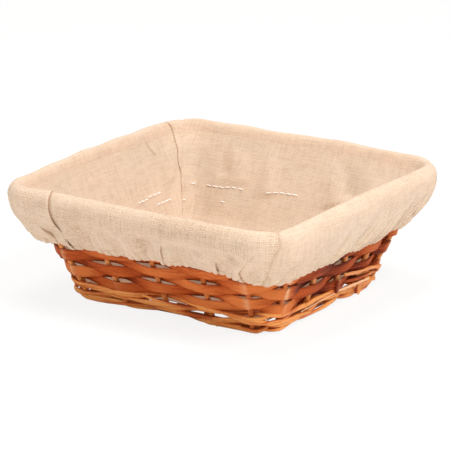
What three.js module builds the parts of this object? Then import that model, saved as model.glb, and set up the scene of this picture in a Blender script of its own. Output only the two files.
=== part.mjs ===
// A square storage basket woven from flat wood chips and willow rods, with a removable
// fabric liner whose cuff folds over the rim and hangs down the outside.
// Millimetres, +Z up. The basket stands on Z = 0 with its centre on the Z axis.
import * as THREE from 'three';

// Wall line: the rounded rectangle through the centres of the uprights, at floor and at rim.
const FLOOR_HALF_X = 88;
const FLOOR_HALF_Y = 75;
const FLOOR_CORNER_RADIUS = 10;
const RIM_HALF_X = 126.2;
const RIM_HALF_Y = 123.3;
const RIM_CORNER_RADIUS = 29;
const RIM_HEIGHT = 91.3;

// Gap left between pieces that touch on the real basket.
const CLEARANCE = 0.3;

// Uprights. Their places are fractions of the flat part of a face, from its left end to its right.
const UPRIGHT_DIAMETER = 4;
const UPRIGHT_FOOT_HEIGHT = 1.2;
const UPRIGHT_TOP_ABOVE_RIM = 3;
const UPRIGHTS_ACROSS_LONG_FACE = [-0.97, -0.51, 0, 0.51, 0.97];
const UPRIGHTS_ACROSS_SHORT_FACE = [-0.98, -0.42, 0.12, 0.61, 0.98];

// Flat wood chips woven round the wall, as many rows as fit below the rim.
const CHIP_PITCH = 7.4;
const CHIP_THICKNESS = 1;
const CHIP_WIDTH_OVER_UPRIGHT = 9.8;
const CHIP_WIDTH_AT_CROSSING = 7.2;

// Round willow rods woven round the foot of the wall.
const ROD_ROWS = 4;
const ROD_PITCH = 3.9;
const ROD_DIAMETER = 3.8;

// Base: a bent rod frame with sticks across it and chips woven through them.
const FRAME_WIDTH = 7;
const FRAME_HEIGHT = 3.4;
const BASE_STICKS = 5;
const BASE_STICK_PITCH = 30;
const BASE_STICK_DIAMETER = 4;
const BASE_CHIPS = 6;
const BASE_CHIP_PITCH = 20;
const BASE_CHIP_WIDTH = 17;

// Rim: a split-rod hoop on each side of the uprights, bound together by one chip lashing.
const HOOP_THICKNESS = 1.8;
const HOOP_WIDTH = 7.6;
const HOOP_CHAMFER = 1.1;
const LASHING_THICKNESS = 0.6;
const LASHING_WIDTH = 5;

// Liner cloth.
const CLOTH_THICKNESS = 0.8;
const LINER_SLACK = 1.2;
const LINER_TOE_HEIGHT = 9;
const CUFF_DROP = 46;
const CUFF_FULLNESS = 5;
const HEM_CASING = 8;
const HEM_EASE = 0.4;
const ELASTIC_DIAMETER = 1.2;
const LINER_SEAM_BELOW_ROLL = 1;

// The cuff's bulge sits low: a power of the share of the drop sets how low. Its shape is
// taken at these shares of the drop.
const CUFF_LOW_BULGE = 1.8;
const CUFF_SHARES = [0, 0.3, 0.55, 0.75, 0.9, 1];

// Folds of the cuff: broad gathers made of two waves across a face, and a few deep pleats.
// Widths and places are fractions of the flat part of a face.
const FOLD_DEPTH = 1.6;
const WIDE_WAVE = { share: 0.3, turns: 16, faceShift: 1.7 };
const NARROW_WAVE = { share: 0.2, turns: 27, faceShift: 2.9 };
const FOLD_FREE_CORNER = 0.12;
const PLEAT_DEPTH = 2.6;
const PLEAT_HALF_WIDTH = 0.055;
const PLEATS = [
  { face: 0, along: -0.82 },
  { face: 0, along: 0.52 },
  { face: 0, along: 0.8 },
  { face: 1, along: -0.7 },
  { face: 1, along: 0.3 },
  { face: 2, along: -0.8 },
  { face: 2, along: 0.5 },
  { face: 3, along: 0.8 },
  { face: 3, along: -0.2 },
];

// The upright behind which the lowest row of each kind of weaver starts. Each row starts one
// upright further on, so that its two ends always meet inside the wall.
const FIRST_CHIP_START = 11;
const FIRST_ROD_START = 5;
const WEAVER_END = 0.005;

// Share of the way between two uprights at a corner that still runs along the flat.
const CORNER_ENTRY = 0.1;

// Fineness of the facets.
const STICK_SIDES = 8;
const ROD_SIDES = 6;
const ELASTIC_SIDES = 5;
const WEAVER_STEPS = 2;
const WEAVER_CORNER_STEPS = 4;
const CORNER_STEPS = 8;
const FRAME_CORNER_STEPS = 3;
const WALL_FLAT_STEPS = 4;
const CUFF_FLAT_STEPS = 20;

const UPRIGHT_RADIUS = UPRIGHT_DIAMETER / 2;
const ROD_RADIUS = ROD_DIAMETER / 2;
const UPRIGHTS_PER_FACE = UPRIGHTS_ACROSS_LONG_FACE.length;
const UPRIGHT_COUNT = 4 * UPRIGHTS_PER_FACE;
const FACE_NAMES = ['front', 'right', 'back', 'left'];

const WOOD = {
  upright: { color: 0xc98a4e, roughness: 0.62, metalness: 0 },
  chip: { color: 0xa9562c, roughness: 0.5, metalness: 0 },
  rod: { color: 0xcf8040, roughness: 0.55, metalness: 0 },
  base: { color: 0xb7733f, roughness: 0.7, metalness: 0 },
};
const CLOTH = {
  liner: { color: 0xead2b2, roughness: 0.95, metalness: 0 },
  cuff: { color: 0xe3cfb6, roughness: 0.95, metalness: 0 },
  elastic: { color: 0xf2ede4, roughness: 0.8, metalness: 0 },
};

const group = new THREE.Group();

function addMesh(name, geometry, finish) {
  const mesh = new THREE.Mesh(geometry, new THREE.MeshStandardMaterial(finish));
  mesh.name = name;
  group.add(mesh);
}

function wallSizes(height) {
  const share = height / RIM_HEIGHT;
  const radius = THREE.MathUtils.lerp(FLOOR_CORNER_RADIUS, RIM_CORNER_RADIUS, share);
  return {
    radius,
    flatX: THREE.MathUtils.lerp(FLOOR_HALF_X, RIM_HALF_X, share) - radius,
    flatY: THREE.MathUtils.lerp(FLOOR_HALF_Y, RIM_HALF_Y, share) - radius,
  };
}

// Turns a direction or point of the front face into the given face. Front looks along -Y.
function turnToFace(face, along, out, height) {
  const places = [[along, -out], [out, along], [-along, out], [-out, -along]];
  return new THREE.Vector3(places[face][0], places[face][1], height);
}

// A station is a place round the wall: a fraction along a face's flat, then a fraction of
// the quarter turn that follows it.
function wallPoint(station, height) {
  const { radius, flatX, flatY } = wallSizes(height);
  const runsAlongX = station.face % 2 === 0;
  const angle = station.turn * Math.PI / 2;
  const along = station.along * (runsAlongX ? flatX : flatY) + radius * Math.sin(angle);
  const out = (runsAlongX ? flatY : flatX) + radius * Math.cos(angle);
  return turnToFace(station.face, along, out, height);
}

// The wall's own directions at a station: round the basket, up the slope, and square to it.
function wallFrame(station) {
  const angle = station.turn * Math.PI / 2;
  const around = turnToFace(station.face, Math.cos(angle), -Math.sin(angle), 0);
  const up = wallPoint(station, 1).sub(wallPoint(station, 0)).normalize();
  const out = new THREE.Vector3().crossVectors(around, up).normalize();
  return { around, up, out, foot: wallPoint(station, 0) };
}

// A point given by its rise up the slope from the floor and its offset square to the wall.
function slopePoint(frame, rise, offset) {
  return frame.foot.clone().addScaledVector(frame.up, rise).addScaledVector(frame.out, offset);
}

// Rise up the slope at which the wall line reaches a height.
function riseTo(frame, height) {
  return height / frame.up.z;
}

function uprightFraction(index) {
  const face = Math.floor(index / UPRIGHTS_PER_FACE) % 4;
  const places = face % 2 === 0 ? UPRIGHTS_ACROSS_LONG_FACE : UPRIGHTS_ACROSS_SHORT_FACE;
  return places[index % UPRIGHTS_PER_FACE];
}

// The station at any real position round the wall, counted in uprights from the front left.
function stationAt(position) {
  const wrapped = ((position % UPRIGHT_COUNT) + UPRIGHT_COUNT) % UPRIGHT_COUNT;
  const index = Math.floor(wrapped);
  const share = wrapped - index;
  const face = Math.floor(index / UPRIGHTS_PER_FACE);
  const here = uprightFraction(index);
  if ((index + 1) % UPRIGHTS_PER_FACE !== 0) {
    return { face, turn: 0, along: THREE.MathUtils.lerp(here, uprightFraction(index + 1), share) };
  }
  if (share < CORNER_ENTRY) {
    return { face, turn: 0, along: THREE.MathUtils.lerp(here, 1, share / CORNER_ENTRY) };
  }
  if (share <= 1 - CORNER_ENTRY) {
    return { face, along: 1, turn: (share - CORNER_ENTRY) / (1 - 2 * CORNER_ENTRY) };
  }
  const left = (1 - share) / CORNER_ENTRY;
  const next = uprightFraction((index + 1) % UPRIGHT_COUNT);
  return { face: (face + 1) % 4, turn: 0, along: THREE.MathUtils.lerp(next, -1, left) };
}

// Joins cross-sections, each a ring of points anticlockwise about the way they follow one
// another, into one closed skin. A loop joins its last ring to its first; an open run is capped.
function skin(rings, isLoop) {
  const size = rings[0].length;
  const positions = rings.flat().flatMap((point) => [point.x, point.y, point.z]);
  const indices = [];
  const addQuad = (a, b, c, d) => indices.push(a, b, c, a, c, d);
  const spans = isLoop ? rings.length : rings.length - 1;
  for (let ring = 0; ring < spans; ring += 1) {
    const here = ring * size;
    const there = ((ring + 1) % rings.length) * size;
    for (let point = 0; point < size; point += 1) {
      const next = (point + 1) % size;
      addQuad(here + point, here + next, there + next, there + point);
    }
  }
  if (!isLoop) {
    const last = (rings.length - 1) * size;
    for (let point = 0; point < size / 2 - 1; point += 1) {
      const facing = size - 1 - point;
      addQuad(point, facing, facing - 1, point + 1);
      addQuad(last + point, last + point + 1, last + facing - 1, last + facing);
    }
  }
  const geometry = new THREE.BufferGeometry();
  geometry.setAttribute('position', new THREE.Float32BufferAttribute(positions, 3));
  geometry.setIndex(indices);
  geometry.computeVertexNormals();
  return geometry;
}

// A straight round stick with flat ends.
function stick(from, to, radius) {
  const section = new THREE.Shape();
  section.setFromPoints(roundSection(radius, STICK_SIDES));
  return new THREE.ExtrudeGeometry(section, {
    extrudePath: new THREE.LineCurve3(from, to),
    steps: 1,
  });
}

function roundSection(radius, sides) {
  const points = [];
  for (let side = 0; side < sides; side += 1) {
    const angle = ((side + 0.5) / sides) * 2 * Math.PI;
    points.push(new THREE.Vector2(radius * Math.cos(angle), radius * Math.sin(angle)));
  }
  return points;
}

// Weavers: over one upright and under the next, each row opposite to the row below it.
// A weaver is one open strip. Its two ends meet inside the wall, behind an upright.
function weaverStations(start) {
  const positions = [start + WEAVER_END];
  for (let index = start; index < start + UPRIGHT_COUNT; index += 1) {
    const turnsCorner = (index + 1) % UPRIGHTS_PER_FACE === 0;
    const steps = turnsCorner ? WEAVER_CORNER_STEPS : WEAVER_STEPS;
    for (let step = index === start ? 1 : 0; step < steps; step += 1) {
      positions.push(index + step / steps);
    }
  }
  positions.push(start + UPRIGHT_COUNT - WEAVER_END);
  return positions;
}

function weave(position, row) {
  return Math.cos(Math.PI * (position + row));
}

const CHIP_OFFSET = UPRIGHT_RADIUS + CLEARANCE + CHIP_THICKNESS / 2;
function chipWeaver(row, height) {
  const rings = weaverStations(FIRST_CHIP_START + row).map((position) => {
    const frame = wallFrame(stationAt(position));
    const swing = weave(position, row);
    const width = THREE.MathUtils.lerp(
      CHIP_WIDTH_AT_CROSSING, CHIP_WIDTH_OVER_UPRIGHT, Math.abs(swing));
    const rise = riseTo(frame, height);
    const middle = CHIP_OFFSET * swing;
    const outer = middle + CHIP_THICKNESS / 2;
    const inner = middle - CHIP_THICKNESS / 2;
    return [
      slopePoint(frame, rise + width / 2, outer),
      slopePoint(frame, rise - width / 2, outer),
      slopePoint(frame, rise - width / 2, inner),
      slopePoint(frame, rise + width / 2, inner),
    ];
  });
  return skin(rings, false);
}

const ROD_OFFSET = UPRIGHT_RADIUS + CLEARANCE + ROD_RADIUS;
function rodWeaver(row, height) {
  const rings = weaverStations(FIRST_ROD_START + row).map((position) => {
    const frame = wallFrame(stationAt(position));
    const middle = ROD_OFFSET * weave(position, row);
    const rise = riseTo(frame, height);
    return roundSection(ROD_RADIUS, ROD_SIDES).map(
      (point) => slopePoint(frame, rise - point.y, middle + point.x));
  });
  return skin(rings, false);
}

// Stations for a hoop that follows the wall without weaving: corners finely, flats in one span.
function hoopStations() {
  const stations = [];
  for (let face = 0; face < 4; face += 1) {
    stations.push({ face, along: -1, turn: 0 }, { face, along: 0, turn: 0 });
    for (let step = 0; step < CORNER_STEPS; step += 1) {
      stations.push({ face, along: 1, turn: step / CORNER_STEPS });
    }
  }
  return stations;
}

// Rim. The hoops clip the uprights between them, and the lashing spirals round both,
// under them between two uprights and over them above the next upright.
const HOOP_NEAR = UPRIGHT_RADIUS + CLEARANCE;
const HOOP_FAR = HOOP_NEAR + HOOP_THICKNESS;
function rimHoop(side) {
  const half = HOOP_WIDTH / 2;
  const outline = [
    [half, HOOP_NEAR],
    [half, HOOP_FAR - HOOP_CHAMFER],
    [half - HOOP_CHAMFER, HOOP_FAR],
    [HOOP_CHAMFER - half, HOOP_FAR],
    [-half, HOOP_FAR - HOOP_CHAMFER],
    [-half, HOOP_NEAR],
  ];
  if (side < 0) {
    outline.reverse();
  }
  const rings = hoopStations().map((station) => {
    const frame = wallFrame(station);
    const rise = riseTo(frame, RIM_HEIGHT);
    return outline.map(([lift, offset]) => slopePoint(frame, rise + lift, side * offset));
  });
  return skin(rings, true);
}

const LASHING_OUT = HOOP_FAR + CLEARANCE + LASHING_THICKNESS / 2;
const LASHING_LIFT = HOOP_WIDTH / 2 + CLEARANCE + LASHING_THICKNESS / 2;
function rimLashing() {
  const shoulder = HOOP_CHAMFER + LASHING_THICKNESS / 2;
  const turn = [
    [-LASHING_LIFT, shoulder - LASHING_OUT],
    [-LASHING_LIFT, LASHING_OUT - shoulder],
    [shoulder - LASHING_LIFT, LASHING_OUT],
    [LASHING_LIFT - shoulder, LASHING_OUT],
    [LASHING_LIFT, LASHING_OUT - shoulder],
    [LASHING_LIFT, shoulder - LASHING_OUT],
    [LASHING_LIFT - shoulder, -LASHING_OUT],
    [shoulder - LASHING_LIFT, -LASHING_OUT],
  ];
  const rings = [];
  for (let index = 0; index < UPRIGHT_COUNT; index += 1) {
    turn.forEach(([lift, offset], step) => {
      const position = index + 0.5 + (step - 0.5) / turn.length;
      const frame = wallFrame(stationAt(position));
      const centre = slopePoint(frame, riseTo(frame, RIM_HEIGHT) + lift, offset);
      const reach = new THREE.Vector2(lift / LASHING_LIFT, offset / LASHING_OUT).normalize();
      const thick = frame.up.clone().multiplyScalar(reach.x).addScaledVector(frame.out, reach.y);
      const corner = (outward, across) => centre.clone()
        .addScaledVector(thick, outward * LASHING_THICKNESS / 2)
        .addScaledVector(frame.around, across * LASHING_WIDTH / 2);
      rings.push([corner(1, -1), corner(1, 1), corner(-1, 1), corner(-1, -1)]);
    });
  }
  return skin(rings, true);
}

// Base.
function roundedRectangle(halfX, halfY, radius, path) {
  path.moveTo(halfX, radius - halfY);
  path.lineTo(halfX, halfY - radius);
  path.absarc(halfX - radius, halfY - radius, radius, 0, Math.PI / 2);
  path.absarc(radius - halfX, halfY - radius, radius, Math.PI / 2, Math.PI);
  path.absarc(radius - halfX, radius - halfY, radius, Math.PI, Math.PI * 1.5);
  path.absarc(halfX - radius, radius - halfY, radius, Math.PI * 1.5, Math.PI * 2);
  return path;
}

const LONG_FACE = wallFrame({ face: 0, along: 0, turn: 0 });
const SHORT_FACE = wallFrame({ face: 1, along: 0, turn: 0 });
const FRAME_HALF_X = FLOOR_HALF_X - (UPRIGHT_RADIUS + CLEARANCE) / SHORT_FACE.up.z;
const FRAME_HALF_Y = FLOOR_HALF_Y - (UPRIGHT_RADIUS + CLEARANCE) / LONG_FACE.up.z;
const FRAME_CORNER_RADIUS = FLOOR_CORNER_RADIUS - UPRIGHT_RADIUS;
function baseFrame() {
  const outline = roundedRectangle(
    FRAME_HALF_X, FRAME_HALF_Y, FRAME_CORNER_RADIUS, new THREE.Shape());
  outline.holes.push(roundedRectangle(
    FRAME_HALF_X - FRAME_WIDTH, FRAME_HALF_Y - FRAME_WIDTH,
    FRAME_CORNER_RADIUS / 2, new THREE.Path()));
  return new THREE.ExtrudeGeometry(outline, {
    depth: FRAME_HEIGHT,
    bevelEnabled: false,
    curveSegments: FRAME_CORNER_STEPS,
  });
}

// The lowest rod row lies just over the frame where it passes inside the uprights.
const FIRST_ROD_HEIGHT = FRAME_HEIGHT + CLEARANCE + ROD_RADIUS + ROD_OFFSET * SHORT_FACE.out.z;
const LAST_ROD_HEIGHT = FIRST_ROD_HEIGHT + (ROD_ROWS - 1) * ROD_PITCH;
const FIRST_CHIP_HEIGHT = LAST_ROD_HEIGHT
  + (ROD_RADIUS + CLEARANCE + CHIP_WIDTH_AT_CROSSING / 2) * SHORT_FACE.up.z;
const LAST_CHIP_LIMIT = RIM_HEIGHT
  - (HOOP_WIDTH / 2 + CLEARANCE + CHIP_WIDTH_OVER_UPRIGHT / 2) * SHORT_FACE.up.z;
const CHIP_ROWS = 1 + Math.floor((LAST_CHIP_LIMIT - FIRST_CHIP_HEIGHT) / CHIP_PITCH);

const BASE_STICK_HEIGHT = FRAME_HEIGHT + CLEARANCE + BASE_STICK_DIAMETER / 2;
const BASE_CHIP_OFFSET = BASE_STICK_DIAMETER / 2 + CLEARANCE + CHIP_THICKNESS / 2;
function baseStick(index) {
  const x = (index - (BASE_STICKS - 1) / 2) * BASE_STICK_PITCH;
  const rodInside = slopePoint(LONG_FACE, riseTo(LONG_FACE, FIRST_ROD_HEIGHT), -ROD_OFFSET);
  const end = -rodInside.y - ROD_RADIUS - CLEARANCE;
  return stick(
    new THREE.Vector3(x, -end, BASE_STICK_HEIGHT),
    new THREE.Vector3(x, end, BASE_STICK_HEIGHT),
    BASE_STICK_DIAMETER / 2);
}

function baseChip(index) {
  const y = (index - (BASE_CHIPS - 1) / 2) * BASE_CHIP_PITCH;
  const rings = [];
  const end = FRAME_HALF_X - FRAME_WIDTH - CLEARANCE;
  const addRing = (x, height) => {
    const corner = (side, lift) => new THREE.Vector3(
      x, y + side * BASE_CHIP_WIDTH / 2, height + lift * CHIP_THICKNESS / 2);
    rings.push([corner(-1, 1), corner(-1, -1), corner(1, -1), corner(1, 1)]);
  };
  addRing(-end, BASE_STICK_HEIGHT);
  for (let place = 0; place < BASE_STICKS; place += 1) {
    const over = (place + index) % 2 === 0 ? 1 : -1;
    const x = (place - (BASE_STICKS - 1) / 2) * BASE_STICK_PITCH;
    addRing(x, BASE_STICK_HEIGHT + over * BASE_CHIP_OFFSET);
  }
  addRing(end, BASE_STICK_HEIGHT);
  return skin(rings, false);
}

// Cloth. A profile runs as [rise, offset] pairs in the plane square to the wall; the cloth
// is half its thickness to either side of it.
function clothRing(frame, profile) {
  const near = [];
  const far = [];
  profile.forEach(([rise, offset], index) => {
    const before = profile[Math.max(index - 1, 0)];
    const after = profile[Math.min(index + 1, profile.length - 1)];
    const into = new THREE.Vector2(rise - before[0], offset - before[1]).normalize();
    const away = new THREE.Vector2(after[0] - rise, after[1] - offset).normalize();
    const along = into.clone().add(away).normalize();
    const bend = Math.max(along.dot(away), along.dot(into));
    const reach = CLOTH_THICKNESS / 2 / bend;
    near.push(slopePoint(frame, rise + along.y * reach, offset - along.x * reach));
    far.push(slopePoint(frame, rise - along.y * reach, offset + along.x * reach));
  });
  return [...near, ...far.reverse()];
}

// A cloth panel covers one face from the middle of one corner to the middle of the next.
function panelStations(face, flatSteps) {
  const stations = [];
  const before = (face + 3) % 4;
  for (let step = CORNER_STEPS / 2; step < CORNER_STEPS; step += 1) {
    stations.push({ face: before, along: 1, turn: step / CORNER_STEPS });
  }
  for (let step = 0; step < flatSteps; step += 1) {
    stations.push({ face, along: (2 * step) / flatSteps - 1, turn: 0 });
  }
  for (let step = 0; step <= CORNER_STEPS / 2; step += 1) {
    stations.push({ face, along: 1, turn: step / CORNER_STEPS });
  }
  return stations;
}

function clothPanel(face, flatSteps, profileAt) {
  const stations = panelStations(face, flatSteps);
  const rings = stations.map((station, index) => {
    const frame = wallFrame(station);
    const ring = clothRing(frame, profileAt(frame, station));
    const isFirst = index === 0;
    const isLast = index === stations.length - 1;
    const inset = (Number(isFirst) - Number(isLast)) * CLEARANCE / 2;
    return ring.map((point) => point.addScaledVector(frame.around, inset));
  });
  return skin(rings, false);
}

// Liner walls hang inside the woven wall and leave the rod rows at its foot.
const ROLL_OUT = LASHING_OUT + LASHING_THICKNESS / 2 + CLEARANCE + CLOTH_THICKNESS / 2;
const ROLL_LIFT = LASHING_LIFT + LASHING_THICKNESS / 2 + CLEARANCE + CLOTH_THICKNESS / 2;
const LINER_OFFSET = CHIP_OFFSET + (CHIP_THICKNESS + CLOTH_THICKNESS) / 2 + LINER_SLACK;
const LINER_FOOT_OFFSET = ROD_OFFSET + ROD_RADIUS + CLOTH_THICKNESS / 2 + LINER_SLACK;
const LINER_FLOOR_BOTTOM = BASE_STICK_HEIGHT + BASE_CHIP_OFFSET + CHIP_THICKNESS / 2 + CLEARANCE;
const LINER_SEAM_BELOW_RIM = ROLL_LIFT - LINER_SEAM_BELOW_ROLL;

// Rise at which a point that is offset from the wall line reaches a height.
function riseToOffset(frame, height, offset) {
  return (height - offset * frame.out.z) / frame.up.z;
}

function linerWallProfile(frame) {
  const rim = riseTo(frame, RIM_HEIGHT);
  const lastRod = riseTo(frame, LAST_ROD_HEIGHT) + ROD_RADIUS;
  const foot = riseToOffset(frame, LINER_FLOOR_BOTTOM, -LINER_FOOT_OFFSET);
  const top = rim - LINER_SEAM_BELOW_RIM - CLEARANCE;
  const leave = top - ROLL_OUT;
  const toe = lastRod + LINER_TOE_HEIGHT;
  return [
    [foot, -LINER_FOOT_OFFSET],
    [lastRod + LINER_SLACK, -LINER_FOOT_OFFSET],
    [toe, -LINER_OFFSET],
    [(toe + leave) / 2, -LINER_OFFSET],
    [leave, -LINER_OFFSET],
    [top, -ROLL_OUT],
  ];
}

function linerFloor() {
  const edge = LINER_FOOT_OFFSET + CLOTH_THICKNESS / 2 + CLEARANCE;
  const outline = hoopStations().map((station) => {
    const frame = wallFrame(station);
    const point = slopePoint(frame, riseToOffset(frame, LINER_FLOOR_BOTTOM, -edge), -edge);
    return new THREE.Vector2(point.x, point.y);
  });
  const geometry = new THREE.ExtrudeGeometry(new THREE.Shape(outline), {
    depth: CLOTH_THICKNESS,
    bevelEnabled: false,
  });
  geometry.translate(0, 0, LINER_FLOOR_BOTTOM);
  return geometry;
}

// How far the cuff's folds stand out at a station, none at the corners.
function foldAt(station) {
  const along = station.along;
  const ease = station.turn > 0 ? 0 : Math.min(1, (1 - Math.abs(along)) / FOLD_FREE_CORNER);
  const wave = ({ share, turns, faceShift }) => share
    * (1 + Math.sin(along * turns + station.face * faceShift));
  const gathers = wave(WIDE_WAVE) + wave(NARROW_WAVE);
  const pleat = PLEATS.filter((entry) => entry.face === station.face)
    .reduce((depth, entry) => depth
      + Math.exp(-(((along - entry.along) / PLEAT_HALF_WIDTH) ** 2)), 0);
  return ease * (FOLD_DEPTH * gathers + PLEAT_DEPTH * pleat);
}

const HEM_GAP = ELASTIC_DIAMETER + 2 * CLEARANCE;
const HEM_INNER = CHIP_OFFSET + (CHIP_THICKNESS + CLOTH_THICKNESS) / 2 + CLEARANCE + HEM_EASE;
const HEM_OUTER = HEM_INNER + CLOTH_THICKNESS + HEM_GAP;
const HEM_MIDDLE = (HEM_INNER + HEM_OUTER) / 2;
const HEM_TURN = (HEM_OUTER - HEM_INNER) / 2;
function cuffProfile(frame, station) {
  const rim = riseTo(frame, RIM_HEIGHT);
  const hem = rim - CUFF_DROP;
  const shoulder = HOOP_CHAMFER + CLOTH_THICKNESS;
  const fold = foldAt(station);
  const hanging = (share) => [
    THREE.MathUtils.lerp(rim - ROLL_LIFT, hem + HEM_TURN, share),
    THREE.MathUtils.lerp(ROLL_OUT, HEM_OUTER, share)
      + CUFF_FULLNESS * Math.sin(Math.PI * share ** CUFF_LOW_BULGE) + fold * share * share,
  ];
  return [
    [rim - LINER_SEAM_BELOW_RIM, -ROLL_OUT],
    [rim + ROLL_LIFT - shoulder, -ROLL_OUT],
    [rim + ROLL_LIFT, shoulder - ROLL_OUT],
    [rim + ROLL_LIFT, ROLL_OUT - shoulder],
    [rim + ROLL_LIFT - shoulder, ROLL_OUT],
    ...CUFF_SHARES.map(hanging),
    [hem, HEM_MIDDLE],
    [hem + HEM_TURN, HEM_INNER],
    [hem + HEM_TURN + HEM_CASING, HEM_INNER],
  ];
}

function hemElastic() {
  const rings = hoopStations().map((station) => {
    const frame = wallFrame(station);
    const rise = riseTo(frame, RIM_HEIGHT) - CUFF_DROP + HEM_TURN + ELASTIC_DIAMETER;
    return roundSection(ELASTIC_DIAMETER / 2, ELASTIC_SIDES).map(
      (point) => slopePoint(frame, rise - point.y, HEM_MIDDLE + point.x));
  });
  return skin(rings, true);
}

addMesh('base_frame', baseFrame(), WOOD.base);
for (let index = 0; index < BASE_STICKS; index += 1) {
  addMesh(`base_stick_${index + 1}`, baseStick(index), WOOD.base);
}
for (let index = 0; index < BASE_CHIPS; index += 1) {
  addMesh(`base_chip_${index + 1}`, baseChip(index), WOOD.base);
}
for (let index = 0; index < UPRIGHT_COUNT; index += 1) {
  const frame = wallFrame(stationAt(index));
  const place = (index % UPRIGHTS_PER_FACE) + 1;
  const faceName = FACE_NAMES[Math.floor(index / UPRIGHTS_PER_FACE)];
  const foot = slopePoint(frame, riseTo(frame, UPRIGHT_FOOT_HEIGHT), 0);
  const top = slopePoint(frame, riseTo(frame, RIM_HEIGHT) + UPRIGHT_TOP_ABOVE_RIM, 0);
  addMesh(`upright_${faceName}_${place}`, stick(foot, top, UPRIGHT_RADIUS), WOOD.upright);
}
for (let row = 0; row < ROD_ROWS; row += 1) {
  addMesh(`rod_weaver_${row + 1}`, rodWeaver(row + 1, FIRST_ROD_HEIGHT + row * ROD_PITCH), WOOD.rod);
}
for (let row = 0; row < CHIP_ROWS; row += 1) {
  const height = FIRST_CHIP_HEIGHT + row * CHIP_PITCH;
  addMesh(`chip_weaver_${row + 1}`, chipWeaver(row + 1, height), WOOD.chip);
}
addMesh('rim_hoop_outer', rimHoop(1), WOOD.rod);
addMesh('rim_hoop_inner', rimHoop(-1), WOOD.rod);
addMesh('rim_lashing', rimLashing(), WOOD.chip);
addMesh('liner_floor', linerFloor(), CLOTH.liner);
FACE_NAMES.forEach((name, face) => {
  addMesh(`liner_wall_${name}`, clothPanel(face, WALL_FLAT_STEPS, linerWallProfile), CLOTH.liner);
});
FACE_NAMES.forEach((name, face) => {
  addMesh(`liner_cuff_${name}`, clothPanel(face, CUFF_FLAT_STEPS, cuffProfile), CLOTH.cuff);
});
addMesh('hem_elastic', hemElastic(), CLOTH.elastic);

export default group;
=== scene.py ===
"""The looks of a lined, woven storage basket: willow stakes, chip bands, willow weavers,
a bound rim, a woven base and a gathered linen liner. Metres, +Z up, standing on Z = 0."""
import math

import bpy
import numpy as np
from mathutils import Matrix, Vector


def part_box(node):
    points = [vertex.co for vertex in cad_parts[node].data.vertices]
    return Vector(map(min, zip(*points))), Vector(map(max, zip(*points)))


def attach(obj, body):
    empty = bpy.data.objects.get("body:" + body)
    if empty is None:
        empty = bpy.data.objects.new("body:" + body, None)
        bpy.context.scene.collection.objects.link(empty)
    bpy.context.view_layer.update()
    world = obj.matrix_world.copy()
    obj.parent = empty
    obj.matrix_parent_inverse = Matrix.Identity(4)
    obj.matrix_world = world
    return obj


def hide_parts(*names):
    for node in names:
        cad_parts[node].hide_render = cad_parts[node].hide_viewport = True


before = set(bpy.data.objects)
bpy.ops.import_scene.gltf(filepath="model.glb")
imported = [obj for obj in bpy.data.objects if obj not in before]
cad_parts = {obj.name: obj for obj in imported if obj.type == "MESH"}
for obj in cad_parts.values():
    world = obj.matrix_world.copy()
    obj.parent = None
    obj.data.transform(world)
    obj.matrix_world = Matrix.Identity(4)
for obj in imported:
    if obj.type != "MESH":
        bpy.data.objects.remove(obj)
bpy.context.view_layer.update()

MM = 0.001

# Wall line: the rounded rectangle through the middles of the stakes, at floor and at rim.
FLOOR_HALF_X = 88 * MM
FLOOR_HALF_Y = 75 * MM
FLOOR_CORNER_RADIUS = 10 * MM
RIM_HALF_X = 126.2 * MM
RIM_HALF_Y = 123.3 * MM
RIM_CORNER_RADIUS = 29 * MM
RIM_HEIGHT = 91.3 * MM
CLEARANCE = 0.3 * MM

# Stakes, by their places across a face's flat.
STAKE_RADIUS = 2 * MM
STAKE_FOOT_HEIGHT = 3.4 * MM
STAKE_TOP_ABOVE_RIM = 3 * MM
LONG_FACE_PLACES = [-0.97, -0.51, 0, 0.51, 0.97]
SHORT_FACE_PLACES = [-0.98, -0.42, 0.12, 0.61, 0.98]
STAKE_PLACES = np.array((LONG_FACE_PLACES + SHORT_FACE_PLACES) * 2)
STAKES_PER_FACE = len(LONG_FACE_PLACES)
STAKE_COUNT = len(STAKE_PLACES)
# Share of a corner's span, at each end, that still runs along a flat.
CORNER_ENTRY = 0.1
FACE_NAMES = ["front", "right", "back", "left"]

# Chip bands and willow weavers. Rows count from the bottom.
CHIP_ROWS = 9
CHIP_PITCH = 7.4 * MM
CHIP_THICKNESS = 0.9 * MM
CHIP_WIDTH_OVER_STAKE = 10.2 * MM
CHIP_WIDTH_AT_CROSSING = 9 * MM
CHIP_OFFSET = 2.8 * MM
FIRST_CHIP_START = 11
ROD_ROWS = 4
ROD_PITCH = 3.9 * MM
ROD_RADIUS = 1.9 * MM
ROD_OFFSET = STAKE_RADIUS + CLEARANCE + ROD_RADIUS
WEAVER_END = 0.005

# Rim.
HOOP_THICKNESS = 1.8 * MM
HOOP_WIDTH = 7.6 * MM
LASHING_THICKNESS = 0.6 * MM
LASHING_WIDTH = 5 * MM
HOOP_NEAR = STAKE_RADIUS + CLEARANCE
HOOP_FAR = HOOP_NEAR + HOOP_THICKNESS
LASHING_OUT = HOOP_FAR + CLEARANCE + LASHING_THICKNESS / 2
LASHING_LIFT = HOOP_WIDTH / 2 + CLEARANCE + LASHING_THICKNESS / 2

# Base.
FRAME_WIDTH = 7 * MM
FRAME_HEIGHT = 3.4 * MM
BASE_STICKS = 5
BASE_STICK_PITCH = 30 * MM
BASE_STICK_RADIUS = 2 * MM
BASE_CHIPS = 6
BASE_CHIP_WIDTH = 17 * MM
BASE_CHIP_THICKNESS = 1 * MM

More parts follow.
